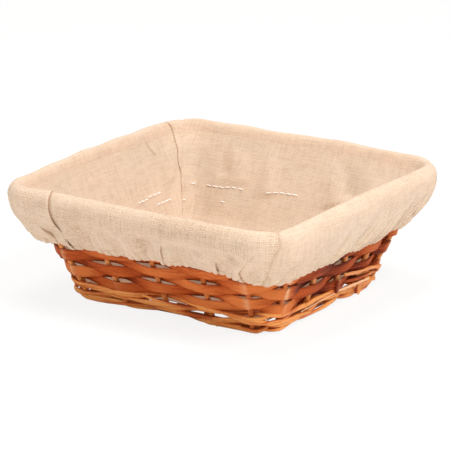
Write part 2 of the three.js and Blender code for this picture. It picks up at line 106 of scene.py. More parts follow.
# Liner cloth.
CLOTH_THICKNESS = 0.8 * MM
LINER_OFFSET = 5.6 * MM
LINER_CORNER_PUSH = 1.6 * MM
LINER_TOP_OFFSET = 5.5 * MM
LINER_FOOT_OFFSET = 7.7 * MM
LINER_FLOOR_HEIGHT = 9.7 * MM
LINER_TOE_HEIGHT = 9 * MM
ROLL_OUT = LASHING_OUT + LASHING_THICKNESS / 2 + CLEARANCE + CLOTH_THICKNESS / 2
ROLL_LIFT = LASHING_LIFT + LASHING_THICKNESS / 2 + CLEARANCE + CLOTH_THICKNESS / 2
CUFF_SEAM_BELOW_RIM = ROLL_LIFT - 1 * MM
CUFF_DROP = 46 * MM
HEM_INNER = 4.4 * MM
HEM_OUTER = 7 * MM
HEM_TURN = (HEM_OUTER - HEM_INNER) / 2
HEM_CASING = 8 * MM
STITCH_ABOVE_HEM = 6.5 * MM


def wall_sizes(height):
    """Corner radius and flat half lengths of the wall line at a height."""
    share = height / RIM_HEIGHT
    radius = FLOOR_CORNER_RADIUS + (RIM_CORNER_RADIUS - FLOOR_CORNER_RADIUS) * share
    flat_x = FLOOR_HALF_X + (RIM_HALF_X - FLOOR_HALF_X) * share - radius
    flat_y = FLOOR_HALF_Y + (RIM_HALF_Y - FLOOR_HALF_Y) * share - radius
    return radius, flat_x, flat_y


def turn_to_face(face, along, out, height):
    """Turns places of the front face, which looks along -Y, into the given faces."""
    x = np.choose(face, [along, out, -along, -out])
    y = np.choose(face, [-out, along, out, -along])
    return np.stack([x, y, np.broadcast_to(height, x.shape)], axis=-1)


def wall_point(station, height):
    face, along, turn = station
    radius, flat_x, flat_y = wall_sizes(height)
    is_long = face % 2 == 0
    flat_along = np.where(is_long, flat_x, flat_y)
    flat_out = np.where(is_long, flat_y, flat_x)
    angle = turn * math.pi / 2
    along = along * flat_along + radius * np.sin(angle)
    return turn_to_face(face, along, flat_out + radius * np.cos(angle), height)


def unit(vectors):
    return vectors / np.linalg.norm(vectors, axis=-1, keepdims=True)


class Wall:
    """The wall's own directions at some stations: round it, up its slope and square to it."""

    def __init__(self, station):
        angle = station[2] * math.pi / 2
        self.around = turn_to_face(station[0], np.cos(angle), -np.sin(angle), 0)
        self.foot = wall_point(station, 0)
        self.up = unit(wall_point(station, RIM_HEIGHT) - self.foot)
        self.out = unit(np.cross(self.around, self.up))

    def at(self, rise, offset):
        rise, offset = np.asarray(rise), np.asarray(offset)
        return self.foot + self.up * rise[..., None] + self.out * offset[..., None]

    def rise_to(self, height):
        return height / self.up[..., 2]

    def rise_to_offset(self, height, offset):
        return (height - offset * self.out[..., 2]) / self.up[..., 2]


def stations(face, along, turn):
    return np.asarray(face), np.asarray(along, float), np.asarray(turn, float)


def span_of(position):
    """The span between two stakes that a position is in, how far along it, and whether it
    turns a corner. Positions are real numbers, counted in stakes from the front left."""
    wrapped = np.mod(position, STAKE_COUNT)
    index = np.floor(wrapped).astype(int)
    return index, wrapped - index, (index + 1) % STAKES_PER_FACE == 0


def station_at(position):
    """Stations at positions round the wall."""
    index, share, at_corner = span_of(position)
    here = STAKE_PLACES[index]
    following = STAKE_PLACES[(index + 1) % STAKE_COUNT]
    entering = at_corner & (share < CORNER_ENTRY)
    leaving = at_corner & (share > 1 - CORNER_ENTRY)
    turning = at_corner & ~entering & ~leaving
    along = here + (following - here) * share
    along = np.where(entering, here + (1 - here) * share / CORNER_ENTRY, along)
    along = np.where(leaving, following - (1 + following) * (1 - share) / CORNER_ENTRY, along)
    along = np.where(turning, 1, along)
    turn = np.where(turning, (share - CORNER_ENTRY) / (1 - 2 * CORNER_ENTRY), 0)
    return stations((index // STAKES_PER_FACE + leaving) % 4, along, turn)


def waves(place, period, lowest, highest, seed, drift=0, climb=0):
    """Smooth noise of about unit height that repeats after a period: sine waves of random
    strength, each of which may drift sideways as climb grows."""
    rng = np.random.default_rng(seed)
    total = 0
    for turns in range(lowest, highest + 1):
        strength = rng.normal()
        phase = rng.uniform(0, 2 * math.pi)
        lean = rng.uniform(-drift, drift)
        angle = 2 * math.pi * turns * place / period + phase + lean * climb
        total = total + strength * np.sin(angle)
    return total / math.sqrt((highest - lowest + 1) / 2)


def stake_waves(position, lowest, highest, seed):
    """Waves round the wall, at positions counted in stakes."""
    return waves(position, STAKE_COUNT, lowest, highest, seed)


def rim_waves(place, lowest, highest, seed, drift=0, climb=0):
    """Waves round the wall, at metres along the rim."""
    return waves(place, RIM_LENGTH, lowest, highest, seed, drift, climb)


def smooth_step(value, start, end):
    share = np.clip((value - start) / (end - start), 0, 1)
    return share * share * (3 - 2 * share)


def run_lengths(points):
    """Length along each run of points, from its first point."""
    steps = np.linalg.norm(np.diff(points, axis=0), axis=-1)
    return np.concatenate([np.zeros((1,) + steps.shape[1:]), np.cumsum(steps, axis=0)])


def surface(name, points, grain, closed=False, capped=False, marks=None):
    """A smooth surface through points[row, column]. grain holds the metres along and across
    the material at each point, with one column more if the columns close on themselves.
    marks are named values at each point, which the materials read."""
    rows, columns = points.shape[:2]
    index = np.arange(rows * columns).reshape(rows, columns)
    left = index if closed else index[:, :-1]
    right = np.roll(index, -1, axis=1) if closed else index[:, 1:]
    quads = np.stack([left[:-1], right[:-1], right[1:], left[1:]], axis=-1).reshape(-1, 4)
    corners = np.stack([grain[:-1, :-1], grain[:-1, 1:], grain[1:, 1:], grain[1:, :-1]], axis=2)
    faces = quads.tolist()
    coordinates = [corners.reshape(-1, 2)]
    if capped:
        faces += [index[0][::-1].tolist(), index[-1].tolist()]
        coordinates += [grain[0, :columns][::-1], grain[-1, :columns]]
    mesh = bpy.data.meshes.new(name)
    mesh.from_pydata(points.reshape(-1, 3).tolist(), [], faces)
    layer = mesh.uv_layers.new(name="grain")
    layer.uv.foreach_set("vector", np.concatenate(coordinates).astype(np.float32).ravel())
    for mark, values in (marks or {}).items():
        attribute = mesh.attributes.new(mark, "FLOAT", "POINT")
        spread = np.broadcast_to(values, (rows, columns))
        attribute.data.foreach_set("value", spread.astype(np.float32).ravel())
    smooth = np.ones(len(faces), bool)
    smooth[len(quads):] = False
    mesh.polygons.foreach_set("use_smooth", smooth)
    mesh.update()
    piece = bpy.data.objects.new(name, mesh)
    bpy.context.scene.collection.objects.link(piece)
    return piece


def swept(name, centres, across, section, loop=False, **marks):
    """A solid swept along centres. section[row, point] holds (across, outward) pairs in
    metres, anticlockwise seen against the run. A mark is one value for the whole solid, or
    one for each row or for each point."""
    if loop:
        tangent = np.roll(centres, -1, axis=0) - np.roll(centres, 1, axis=0)
    else:
        tangent = np.gradient(centres, axis=0)
    tangent = unit(tangent)
    outward = unit(np.cross(tangent, across))
    upward = np.cross(outward, tangent)
    points = (centres[:, None]
              + upward[:, None] * section[..., 0:1]
              + outward[:, None] * section[..., 1:2])
    ring = np.concatenate([section, section[:, :1]], axis=1)
    girth = run_lengths(np.moveaxis(ring, 1, 0)).T
    grain = np.stack(np.broadcast_arrays(run_lengths(centres)[:, None], girth), axis=-1)
    for mark, values in marks.items():
        values = values if np.ndim(values) == 2 else np.reshape(values, (-1, 1))
        marks[mark] = np.broadcast_to(values, points.shape[:2])
    if loop:
        last = grain[-1:].copy()
        last[..., 0] += np.linalg.norm(centres[0] - centres[-1])
        points = np.concatenate([points, points[:1]])
        grain = np.concatenate([grain, last])
        marks = {mark: np.concatenate([values, values[:1]]) for mark, values in marks.items()}
    return surface(name, points, grain, closed=True, capped=not loop, marks=marks)


def signed_power(values, power):
    return np.sign(values) * np.abs(values) ** power


def oval(height, thickness, sides=12, power=1.0):
    """Sections that are ovals, one for each height and thickness given. A power under 1
    makes them squarer."""
    angle = np.arange(sides) / sides * 2 * math.pi
    height, thickness = (np.atleast_1d(size)[:, None] for size in (height, thickness))
    return np.stack([-height / 2 * signed_power(np.cos(angle), power),
                     thickness / 2 * signed_power(np.sin(angle), power)], axis=-1)


def band(width, thickness, cup):
    """Sections of a flat strip with soft edges, cupped outward in its middle by cup."""
    outline = np.array([
        [-1, -0.25], [-0.97, 0.8], [-0.55, 1], [0, 1], [0.55, 1], [0.97, 0.8],
        [1, -0.25], [0.97, -0.9], [0.5, -1], [0, -1], [-0.5, -1], [-0.97, -0.9]])
    width, cup = (np.atleast_1d(size)[:, None] for size in (width, cup))
    outward = outline[:, 1] * thickness / 2 + (1 - outline[:, 0] ** 2) * cup
    pairs = np.broadcast_arrays(outline[:, 0] * width / 2, outward)
    return np.stack(pairs, axis=-1)[:, ::-1]


def srgb(red, green, blue):
    """The linear colour of 0-255 display values."""
    def linear(value):
        value /= 255
        return value / 12.92 if value <= 0.04045 else ((value + 0.055) / 1.055) ** 2.4
    return (linear(red), linear(green), linear(blue), 1)


class Nodes:
    """A tree of shader nodes."""

    def __init__(self, tree):
        self.tree = tree

    def node(self, kind, inputs=(), **settings):
        node = self.tree.nodes.new("ShaderNode" + kind)
        for key, value in settings.items():
            setattr(node, key, value)
        for key, value in dict(inputs).items():
            self.feed(node.inputs[key], value)
        return node

    def feed(self, socket, value):
        if isinstance(value, bpy.types.NodeSocket):
            self.tree.links.new(value, socket)
        else:
            socket.default_value = value

    def math(self, operation, first, second=0.0, third=0.0):
        return self.node("Math", {0: first, 1: second, 2: third}, operation=operation).outputs[0]

    def total(self, value, *terms):
        """A value plus each term, a (value, weight) pair."""
        for term, weight in terms:
            value = self.math("MULTIPLY_ADD", term, weight, value)
        return value

    def show(self, output, share, first, second):
        """Shows a mix of two shader nodes."""
        mix = self.node("MixShader", {0: share, 1: first.outputs[0], 2: second.outputs[0]})
        self.feed(self.tree.nodes[output].inputs["Surface"], mix.outputs[0])


class Finish(Nodes):
    """A procedural material, built node by node."""

    def __init__(self, name):
        self.material = bpy.data.materials.new(name)
        self.material.use_nodes = True
        super().__init__(self.material.node_tree)
        self.shader = self.tree.nodes["Principled BSDF"]

    def grain(self, along, across, seed=0):
        """Material coordinates, scaled to so many units a metre along and across."""
        return self.node("Mapping", {
            "Vector": self.node("UVMap", uv_map="grain").outputs["UV"],
            "Location": (seed * 3.7, seed * 1.3, seed),
            "Scale": (along, across, 1)}).outputs["Vector"]

    def noise(self, along, across, seed, detail=3, roughness=0.5):
        """Noise with so many cells a metre along and across the material."""
        return self.node("TexNoise", {
            "Vector": self.grain(along, across, seed), "Scale": 1, "Detail": detail,
            "Roughness": roughness}).outputs["Fac"]

    def mark(self, name):
        return self.node("Attribute", attribute_name=name).outputs["Fac"]

    def rescaled(self, value, start, end, low=0.0):
        """low where a value is at its start, rising to 1 at its end."""
        return self.node("MapRange", {
            "Value": value, "From Min": start, "From Max": end, "To Min": low}).outputs[0]

    def ramp(self, value, stops):
        node = self.node("ValToRGB", {"Fac": value})
        elements = node.color_ramp.elements
        while len(elements) < len(stops):
            elements.new(0.5)
        for element, (place, color) in zip(elements, stops):
            element.position = place
            element.color = color
        return node.outputs["Color"]

    def mix(self, share, first, second):
        return self.node("Mix", {0: share, 6: first, 7: second}, data_type="RGBA").outputs[2]

    def bump(self, height, distance, strength):
        node = self.node("Bump", {"Height": height, "Distance": distance, "Strength": strength})
        self.feed(self.shader.inputs["Normal"], node.outputs["Normal"])

    def set(self, **values):
        for key, value in values.items():
            self.feed(self.shader.inputs[key.replace("_", " ")], value)


WOOD_RELIEF = 0.35 * MM
LINEN_RELIEF = 0.13 * MM
THREAD_RELIEF = 0.1 * MM


def wood(name, colors, roughness, coat, seed):
    """Varnished wood in dark, middle, light and pale colours: grain along the piece, pores,
    stain that varies and a tone of its own for each piece, with painted shade where a piece
    dives behind another and along its edges, and the pale colour where a mark asks for it:
    painted highlights where chips pass over stakes, the pale split wood of loose fibres."""
    dark, middle, light, pale = (srgb(*color) for color in colors)
    finish = Finish(name)
    streaks = finish.noise(45, 900, seed, 4, 0.65)
    bands = finish.noise(14, 330, seed + 3, 3, 0.6)
    pores = finish.noise(400, 3200, seed + 1, 2)
    mottle = finish.noise(420, 620, seed + 4, 3, 0.7)
    stain = finish.noise(40, 110, seed + 2)
    # The last term is painted shade: darker where a piece dives behind another and along its edges.
    value = finish.total(
        -0.4, (finish.mark("tone"), 0.42), (streaks, 0.62), (bands, 0.55), (mottle, 0.36),
        (stain, 0.4), (pores, 0.14), (finish.mark("deep"), -0.3))
    color = finish.ramp(value, [(0.25, dark), (0.6, middle), (0.95, light)])
    # The pale mix is a painted highlight where chips bend over stakes, and the split wood's own
    # pale colour on loose fibres.
    bend = finish.math("MULTIPLY", finish.mark("bend"), finish.math("ADD", streaks, 0.35))
    finish.set(Base_Color=finish.mix(bend, color, pale), Coat_Weight=coat, Coat_Roughness=0.28,
               Specular_IOR_Level=0.1, Roughness=finish.total(roughness - 0.15, (stain, 0.3)))
    relief = finish.total(finish.math("ADD", streaks, bands), (pores, 0.35))
    finish.bump(relief, WOOD_RELIEF, 0.9)
    return finish.material


LINEN_THREAD = srgb(249, 226, 201)
LINEN_SHADE = srgb(186, 147, 107)
LINER_WEAVE = 1.15 * MM
CUFF_WEAVE = 1.28 * MM
# Shares of the light that go through the single cloth inside and the doubled cloth of the cuff.
LINER_THINNESS = 0.27
CUFF_THINNESS = 0.2
CREASE_SHADE = -0.36


def linen(name, weave_pitch, seed):
    """Plain-weave cloth: threads both ways with slubs, small dark gaps where they cross and a
    soft mottle. Where it is stretched open, as its mark says, the gaps show more. Painted shade
    darkens it in its creases and along seams, as another mark says."""
    finish = Finish(name)
    pitch = 1 / weave_pitch
    split = finish.node("SeparateXYZ", {"Vector": finish.grain(pitch, pitch)})
    stray = finish.noise(130, 130, seed + 5, 3, 0.7)

    def threads(axis, wander):
        turns = finish.total(split.outputs[axis], (stray, wander))
        return finish.math("ABSOLUTE", finish.math("SINE", finish.math("MULTIPLY", turns, math.pi)))

    warp, weft = threads("X", 2.6), threads("Y", -2.2)
    gap = finish.math(
        "MULTIPLY", finish.math("SUBTRACT", 1, warp), finish.math("SUBTRACT", 1, weft))
    slub_up = finish.noise(900, 45, seed, 2)
    slub_round = finish.noise(45, 900, seed + 1, 2)
    mottle = finish.noise(160, 160, seed + 2, 4, 0.65)
    speck = finish.noise(760, 760, seed + 4, 1)
    patches = finish.noise(34, 34, seed + 6, 2)
    cloud = finish.noise(22, 22, seed + 3)
    open_share = finish.math(
        "MULTIPLY", finish.mark("open"), finish.rescaled(patches, 0.4, 0.62, 0.25))
    holes = finish.math("MULTIPLY", finish.rescaled(speck, 0.53, 0.66), open_share)
    value = finish.total(
        0.15, (slub_round, 0.24), (slub_up, 0.24), (mottle, 0.24), (cloud, 0.14),
        (finish.math("MULTIPLY", gap, speck), -0.5), (holes, -0.17),
        (finish.math("MULTIPLY", gap, open_share), -0.4), (finish.mark("painted_crease_shade"), CREASE_SHADE))
    color = finish.ramp(value, [(0.15, LINEN_SHADE), (0.6, LINEN_THREAD)])
    finish.set(Base_Color=color, Roughness=0.92, Specular_IOR_Level=0.25, Sheen_Weight=0.25,
               Sheen_Roughness=0.4)
    relief = finish.total(finish.math("ADD", warp, weft), (slub_up, 0.6), (slub_round, 0.6))
    finish.bump(relief, LINEN_RELIEF, 0.8)
    thinness = finish.total(LINER_THINNESS, (finish.mark("open"), CUFF_THINNESS - LINER_THINNESS))
    finish.show("Material Output", thinness, finish.shader,
                finish.node("BsdfTranslucent", {"Color": color}))
    return finish.material


THREAD_SHADE = 26


def thread(name, color):
    """Twisted thread or covered elastic: fine slanting ridges."""
    finish = Finish(name)
    ridges = finish.noise(900, 1600, 2, 2)
    shade = srgb(*(channel - THREAD_SHADE for channel in color))
    finish.set(Base_Color=finish.ramp(ridges, [(0.3, shade), (0.6, srgb(*color))]),
               Roughness=0.8, Sheen_Weight=0.2)
    finish.bump(ridges, THREAD_RELIEF, 0.6)
    return finish.material


CHIP_WOOD = wood(
    "chip_wood", [(98, 28, 6), (178, 76, 26), (216, 120, 60), (238, 180, 134)],
    roughness=0.6, coat=0.03, seed=1)
ROD_WOOD = wood(
    "rod_wood", [(116, 38, 12), (206, 100, 40), (248, 168, 92), (250, 214, 176)],
    roughness=0.42, coat=0.25, seed=5)
STAKE_WOOD = wood(
    "stake_wood", [(104, 38, 16), (184, 90, 40), (232, 150, 84), (240, 200, 150)],
    roughness=0.5, coat=0.15, seed=9)
BASE_WOOD = wood(
    "base_wood", [(128, 66, 32), (184, 112, 62), (212, 150, 98), (222, 170, 126)],
    roughness=0.62, coat=0.05, seed=13)
LINER_LINEN = linen("liner_linen", LINER_WEAVE, seed=17)
CUFF_LINEN = linen("cuff_linen", CUFF_WEAVE, seed=21)
WHITE_THREAD = thread("white_thread", (255, 250, 246))
ELASTIC = thread("elastic", (242, 237, 228))


def dress(piece, material, body, slot, *nodes):
    """Gives a piece its material and the body that it rides on, and hides its CAD nodes. Its
    slot is not used.
    """
    piece.data.materials.append(material)
    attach(piece, body)
    if nodes:
        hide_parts(*nodes)


# How pale each stake is, from the front left round the basket.
STAKE_TONES = [
    1.0, 0.7, 0.3, 0.25, 0.1, 0.2, 0.8, 0.85, 0.95, 0.85,
    0.4, 0.9, 0.6, 0.2, 0.5, 0.8, 0.3, 0.7, 0.95, 0.5]
STAKE_STEPS = 44
STAKE_WOBBLE = 0.18 * MM
STAKE_END_SHRINK = 0.86


def make_stakes():
    share = np.linspace(0, 1, STAKE_STEPS)
    for index in range(STAKE_COUNT):
        rng = np.random.default_rng(100 + index)
        wall = Wall(station_at(np.full(STAKE_STEPS, float(index))))
        low = wall.rise_to(STAKE_FOOT_HEIGHT)
        high = wall.rise_to(RIM_HEIGHT) + STAKE_TOP_ABOVE_RIM
        wobble = waves(share, 2, 1, 4, 200 + index) * STAKE_WOBBLE
        centres = wall.at(low + (high - low) * share, wobble * 0.6)
        centres = centres + wall.around * wobble[:, None]
        size = 2 * STAKE_RADIUS * (1.02 - 0.08 * share + 0.03 * waves(share, 1, 2, 7, 300 + index))
        size[[0, -1]] *= STAKE_END_SHRINK
        section = oval(size, size * rng.uniform(0.84, 0.94), 12, 0.8)
        name = f"{FACE_NAMES[index // STAKES_PER_FACE]}_{index % STAKES_PER_FACE + 1}"
        piece = swept(f"stake_{name}", centres, wall.around, section,
                      tone=STAKE_TONES[index] + 0.12 * waves(share, 1, 1, 3, 400 + index))
        dress(piece, STAKE_WOOD, "basket", "upright_wood", f"upright_{name}")


def run_positions(start, end, per_span, per_corner):
    """Positions from start to end, closer together at the corners."""
    positions = [start, end]
    for index in range(math.floor(start), math.ceil(end)):
        count = per_corner if (index + 1) % STAKES_PER_FACE == 0 else per_span
        positions.extend(index + np.arange(count) / count)
    positions = np.unique(positions)
    return positions[(positions >= start) & (positions <= end)]


def weaver_positions(start, per_span, per_corner):
    """Positions of one turn round the wall, whose ends almost meet."""
    positions = run_positions(start, start + STAKE_COUNT, per_span, per_corner)
    positions[0] += WEAVER_END
    positions[-1] -= WEAVER_END
    return positions


def corner_bow(position):
    """1 in the middle of a corner's span, 0 from its two stakes on."""
    _, share, at_corner = span_of(position)
    return (1 - np.abs(2 * share - 1) ** 3) * (at_corner & (share > 0))


def near_corner(position):
    """1 between the two stakes of a corner, fading out just past them."""
    wrapped = np.mod(position, STAKES_PER_FACE)
    return 1 - smooth_step(np.minimum(wrapped, STAKES_PER_FACE - 1 - wrapped), 0.1, 0.7)


CHIP_CORNER_FLATTENING = 2.6 * MM
# Painted shade along a chip's edges, where the rows above and below meet.
CHIP_EDGE_SHADE = 0.5
# The share of its width from a chip's middle at which its painted edge shade starts, and how
# far from a stake, in stakes, its painted highlight fades out.
CHIP_EDGE_START = 0.47
CHIP_HIGHLIGHT_REACH = 0.06
CHIP_SHINGLE_TILT = 0.16
CHIP_CORNER_TILT = 0.16
CHIP_SHARED_WAVE = 0.35 * MM
CHIP_OWN_WAVE = 0.3 * MM
CHIP_CUP = 0.22 * MM
# From just above the last weaver to the middle of the first chip.
FIRST_CHIP_ABOVE_ROD = 3.6 * MM
SHORT_FACE = Wall(stations([1], [0], [0]))
FIRST_ROD_HEIGHT = FRAME_HEIGHT + CLEARANCE + ROD_RADIUS + ROD_OFFSET * SHORT_FACE.out[0, 2]
LAST_ROD_HEIGHT = FIRST_ROD_HEIGHT + (ROD_ROWS - 1) * ROD_PITCH
FIRST_CHIP_HEIGHT = (
    LAST_ROD_HEIGHT + (ROD_RADIUS + CLEARANCE + FIRST_CHIP_ABOVE_ROD) * SHORT_FACE.up[0, 2])


def make_chips():
    for row in range(1, CHIP_ROWS + 1):
        position = weaver_positions(FIRST_CHIP_START + row - 1, 14, 30)
        wall = Wall(station_at(position))
        swing = np.cos(math.pi * (position + row))
        shared = stake_waves(position, 3, 14, 31) * CHIP_SHARED_WAVE
        own = stake_waves(position, 5, 26, 500 + row) * CHIP_OWN_WAVE
        rise = wall.rise_to(FIRST_CHIP_HEIGHT + (row - 1) * CHIP_PITCH) + shared + own
        offset = CHIP_OFFSET * swing * (1 + 0.05 * stake_waves(position, 8, 24, 530 + row))
        centres = wall.at(rise, offset - CHIP_CORNER_FLATTENING * corner_bow(position))
        tilt = 0.07 * stake_waves(position, 6, 20, 560 + row)
        tilt = tilt - CHIP_SHINGLE_TILT * (1 - np.abs(swing)) ** 0.7
        tilt = tilt - CHIP_CORNER_TILT * near_corner(position) * smooth_step(swing, -0.3, 0.5)
        widening = (CHIP_WIDTH_OVER_STAKE - CHIP_WIDTH_AT_CROSSING) * np.abs(swing)
        width = (CHIP_WIDTH_AT_CROSSING + widening) * (
            1 + 0.035 * stake_waves(position, 10, 60, 590 + row))
        cup = CHIP_CUP * (1 + 0.6 * stake_waves(position, 10, 30, 620 + row))
        tone = 0.55 + 0.34 * stake_waves(position, 2, 12, 650 + row)
        # Painted light and shade from the table: paler chips around the front right corner, darker
        # ones along the right face under the cuff's overhang.
        tone = tone + from_table(rim_place(position), CHIP_SHADE_TABLE)
        # A painted highlight: pale over the stakes that the chip passes in front of, in patches,
        # and at every corner stake.
        at_stake = np.exp(-((position - np.round(position)) / CHIP_HIGHLIGHT_REACH) ** 2)
        chance = 0.5 * stake_waves(position, 4, 16, 690 + row)
        strength = np.clip(np.maximum(chance, near_corner(position)), 0, 1)
        patchy = 0.75 + 0.3 * stake_waves(position, 20, 60, 680 + row)
        bend = np.clip(at_stake * strength * patchy * (swing > 0), 0, 1)
        section = band(width, CHIP_THICKNESS, cup)
        # Painted shade: darker where the chip dives behind a stake and along its edges, where the
        # rows meet.
        edge = np.abs(section[..., 0]) > CHIP_EDGE_START * width[:, None]
        deep = (0.5 - 0.5 * swing)[:, None] + CHIP_EDGE_SHADE * edge
        piece = swept(f"chip_band_{row}", centres, wall.up + wall.out * tilt[:, None], section,
                      tone=tone, bend=bend, deep=deep)
        dress(piece, CHIP_WOOD, "basket", "chip_wood", f"chip_weaver_{row}")


# Each willow weaver is a pair of split strands that run side by side and sometimes cross.
STRAND_WIDTH = 3.5 * MM
STRAND_DEPTH = 2.1 * MM
STRAND_GAP = 1.35 * MM
# Painted shade on the strands' rounded sides.
STRAND_EDGE_SHADE = 0.9
ROD_JITTER = 0.3 * MM
ROD_SLANT = 0.9 * MM
ROD_CORNER_FLATTENING = 1.0 * MM
LOWEST_ROD_SLANT_SHARE = 0.25
# How far a strand's ends stand off the wall, over how much of its run, in stakes, and how far
# each strand steps aside where two cross.
STRAND_STAND_OFF = 2.2 * MM
STRAND_END_FADE = 0.12
STRAND_CROSSING_STEP = 0.45 * MM


def rod_swing(local):
    """In front of two stakes, at 0 and 1, and behind the third, at 2."""
    distance = np.minimum(np.abs(local - 2), np.abs(local + 1))
    return -np.cos(math.pi * np.minimum(distance, 1))


def rod_slant(local):
    """From 1 to -1 along the outer stretch and back behind the third stake."""
    run = np.mod(local + 0.5, 3)
    slant = np.where(run < 2, 1 - run, 2 * run - 5)
    kernel = np.hanning(11)
    return np.convolve(np.pad(slant, 5, mode="edge"), kernel / kernel.sum(), mode="valid")


def join_pieces(pieces, name):
    with bpy.context.temp_override(active_object=pieces[0], selected_editable_objects=pieces):
        bpy.ops.object.join()
    pieces[0].name = name
    return pieces[0]


# Where each strand's ends meet, in stakes from the front left, for the upper and the lower one
# of each row. The ends lie side by side and stand a little off the wall.
STRAND_JOINS = [(8.6, 3.45), (9.35, 13.4), (8.2, 17.2), (9.6, 1.6)]
STRAND_END_LAP = 0.3
FLOOR_CLEARANCE = 0.3 * MM


def make_strand(row, side):
    join = STRAND_JOINS[row - 1][0 if side > 0 else 1]
    position = run_positions(join - STRAND_END_LAP, join + STAKE_COUNT + STRAND_END_LAP, 16, 26)
    seed = 700 + 20 * row + side
    wall = Wall(station_at(position))
    local = np.mod(position + row, 3)
    swing = rod_swing(local)
    jitter = ROD_JITTER * stake_waves(position, 2, 14, 600 + row)
    slant = ROD_SLANT * rod_slant(local)
    if row == 1:
        jitter = np.abs(jitter) + from_table(rim_place(position), FOOT_LIFT_TABLE)
        slant = slant * LOWEST_ROD_SLANT_SHARE
    spread = np.tanh(2.4 * stake_waves(position, 2, 8, 640 + row))
    height = FIRST_ROD_HEIGHT + (row - 1) * ROD_PITCH
    rise = wall.rise_to(height) + jitter + slant + side * spread * STRAND_GAP
    from_start = position - position[0]
    to_end = position[-1] - position
    free = np.exp(-from_start / STRAND_END_FADE) + np.exp(-to_end / STRAND_END_FADE)
    stand_off = np.where(from_start < 1, 1.0, -0.6) * STRAND_STAND_OFF * free
    crossing = 1 - np.abs(spread)
    reach = STAKE_RADIUS + STRAND_DEPTH / 2 + side * STRAND_CROSSING_STEP * crossing
    flattening = ROD_CORNER_FLATTENING * corner_bow(position)
    centres = wall.at(rise, reach * swing - flattening + stand_off)
    width = STRAND_WIDTH * (1.0 + 0.13 * stake_waves(position, 3, 18, seed + 1))
    centres[:, 2] = np.maximum(centres[:, 2], width / 2 + FLOOR_CLEARANCE)
    depth = STRAND_DEPTH * (1.0 + 0.1 * stake_waves(position, 3, 16, seed + 2))
    tilt = -0.08 + 0.2 * stake_waves(position, 3, 22, seed + 3)
    section = oval(width, depth, 12, 0.8)
    edge = np.abs(section[..., 0]) / (width[:, None] / 2)
    # The last mark is painted shade: darker where the strand dives behind a stake and on its
    # rounded sides.
    return swept("strand", centres, wall.up + wall.out * tilt[:, None], section,
                 tone=0.8 + 0.45 * stake_waves(position, 3, 16, seed + 4),
                 deep=(0.5 - 0.5 * swing)[:, None] + STRAND_EDGE_SHADE * edge ** 3)


# Loose ends, a stub and a split fibre on the right face: weaver row, width, depth, tone, pale
# share and path, as (along, height, offset) in millimetres.
LOOSE_ENDS = [
    (4, 3.2, 1.8, 0.4, 0.1, [(14, 27, 3.4), (36, 23.5, 4.6), (52, 22.8, 5.2), (67, 20.5, 6.6)]),
    (1, 3.4, 2.0, 0.5, 0.0, [(36, 11, 4.4), (52, 9.5, 5.2), (66, 9.6, 6.6)]),
    (2, 2.4, 1.6, 0.9, 0.7, [(12, 13.5, 4.6), (34, 13, 5.6), (56, 12.6, 6.4)]),
    (1, 2.6, 1.8, -0.7, 0.0, [(40, 11, 5), (40.5, 8, 6), (41, 4, 6.8)]),
    (2, 3.0, 2.0, -0.9, 0.0, [(4, 24, 4.6), (5, 19, 5.4), (6.5, 14, 5.8)]),
    (3, 0.8, 0.5, 0.9, 1.0, [(-42, 11, 5.2), (-16, 12.5, 5.4), (8, 13.5, 5.2)]),
]


def make_loose_end(width, depth, tone, pale, path):
    """A short strand that runs along the right face and leaves it at its ends."""
    share = np.linspace(0, 1, 22)
    spots = np.array(path, float) * MM
    places = np.linspace(0, 1, len(spots))
    along, height, offset = (np.interp(share, places, spots[:, axis]) for axis in range(3))
    out = FLOOR_HALF_X + (RIM_HALF_X - FLOOR_HALF_X) * height / RIM_HEIGHT + offset
    centres = turn_to_face(np.full(len(share), 1), along, out, height)
    size = MM * (1 + 0.1 * waves(share, 1, 1, 5, round(1000 * width)))
    across = SHORT_FACE.up[0] + SHORT_FACE.around[0] * 0.3
    return swept("loose_end", centres, across, oval(width * size, depth * size, 10, 0.8),
                 tone=tone, bend=pale)


def make_rods():
    for row in range(1, ROD_ROWS + 1):
        strands = [make_strand(row, side) for side in (1, -1)]
        strands += [make_loose_end(*end[1:]) for end in LOOSE_ENDS if end[0] == row]
        piece = join_pieces(strands, f"willow_weaver_{row}")
        dress(piece, ROD_WOOD, "basket", "rod_wood", f"rod_weaver_{row}")


# How far the rim and its cloth rise or sink: face, millimetres along the face, lift.
RIM_LIFTS = [
    (0, -108, 0.6), (0, -83, 0.4), (0, -50, 0.2), (0, -28, -0.6), (0, 0, -1.0), (0, 30, -1.9),
    (0, 67, -1.8), (0, 100, -1.6),
    (1, -100, -1.0), (1, -57, -0.2), (1, 7, 1.3), (1, 70, -0.3), (1, 108, 0.3),
    (2, -91, -1.2), (2, -29, 1.4), (2, 5, -0.2), (2, 59, 0.3), (2, 90, -0.6), (2, 108, -0.4),
    (3, -100, -0.9), (3, -42, -0.1), (3, 16, 0.6), (3, 70, -0.7), (3, 104, -1.2),
]
# How far the hem is drawn up, in the same way.
HEM_LIFTS = [
    (0, -112, 3.0), (0, -60, 4.8), (0, -30, 4.6), (0, 0, 5.6), (0, 20, 7.2), (0, 40, 7.0),
    (0, 65, 6.6), (0, 85, 6.2), (0, 100, 2.4), (0, 112, -0.8),
    (1, -108, -0.4), (1, -70, 2.4), (1, -20, 4.2), (1, 30, 4.6), (1, 60, 6.4), (1, 90, 9.0),
    (1, 112, 9.5),
    (2, -90, 6.0), (2, 0, 4.0), (2, 100, 4.0), (3, -100, 4.0), (3, 0, 4.2), (3, 100, 3.2),
]
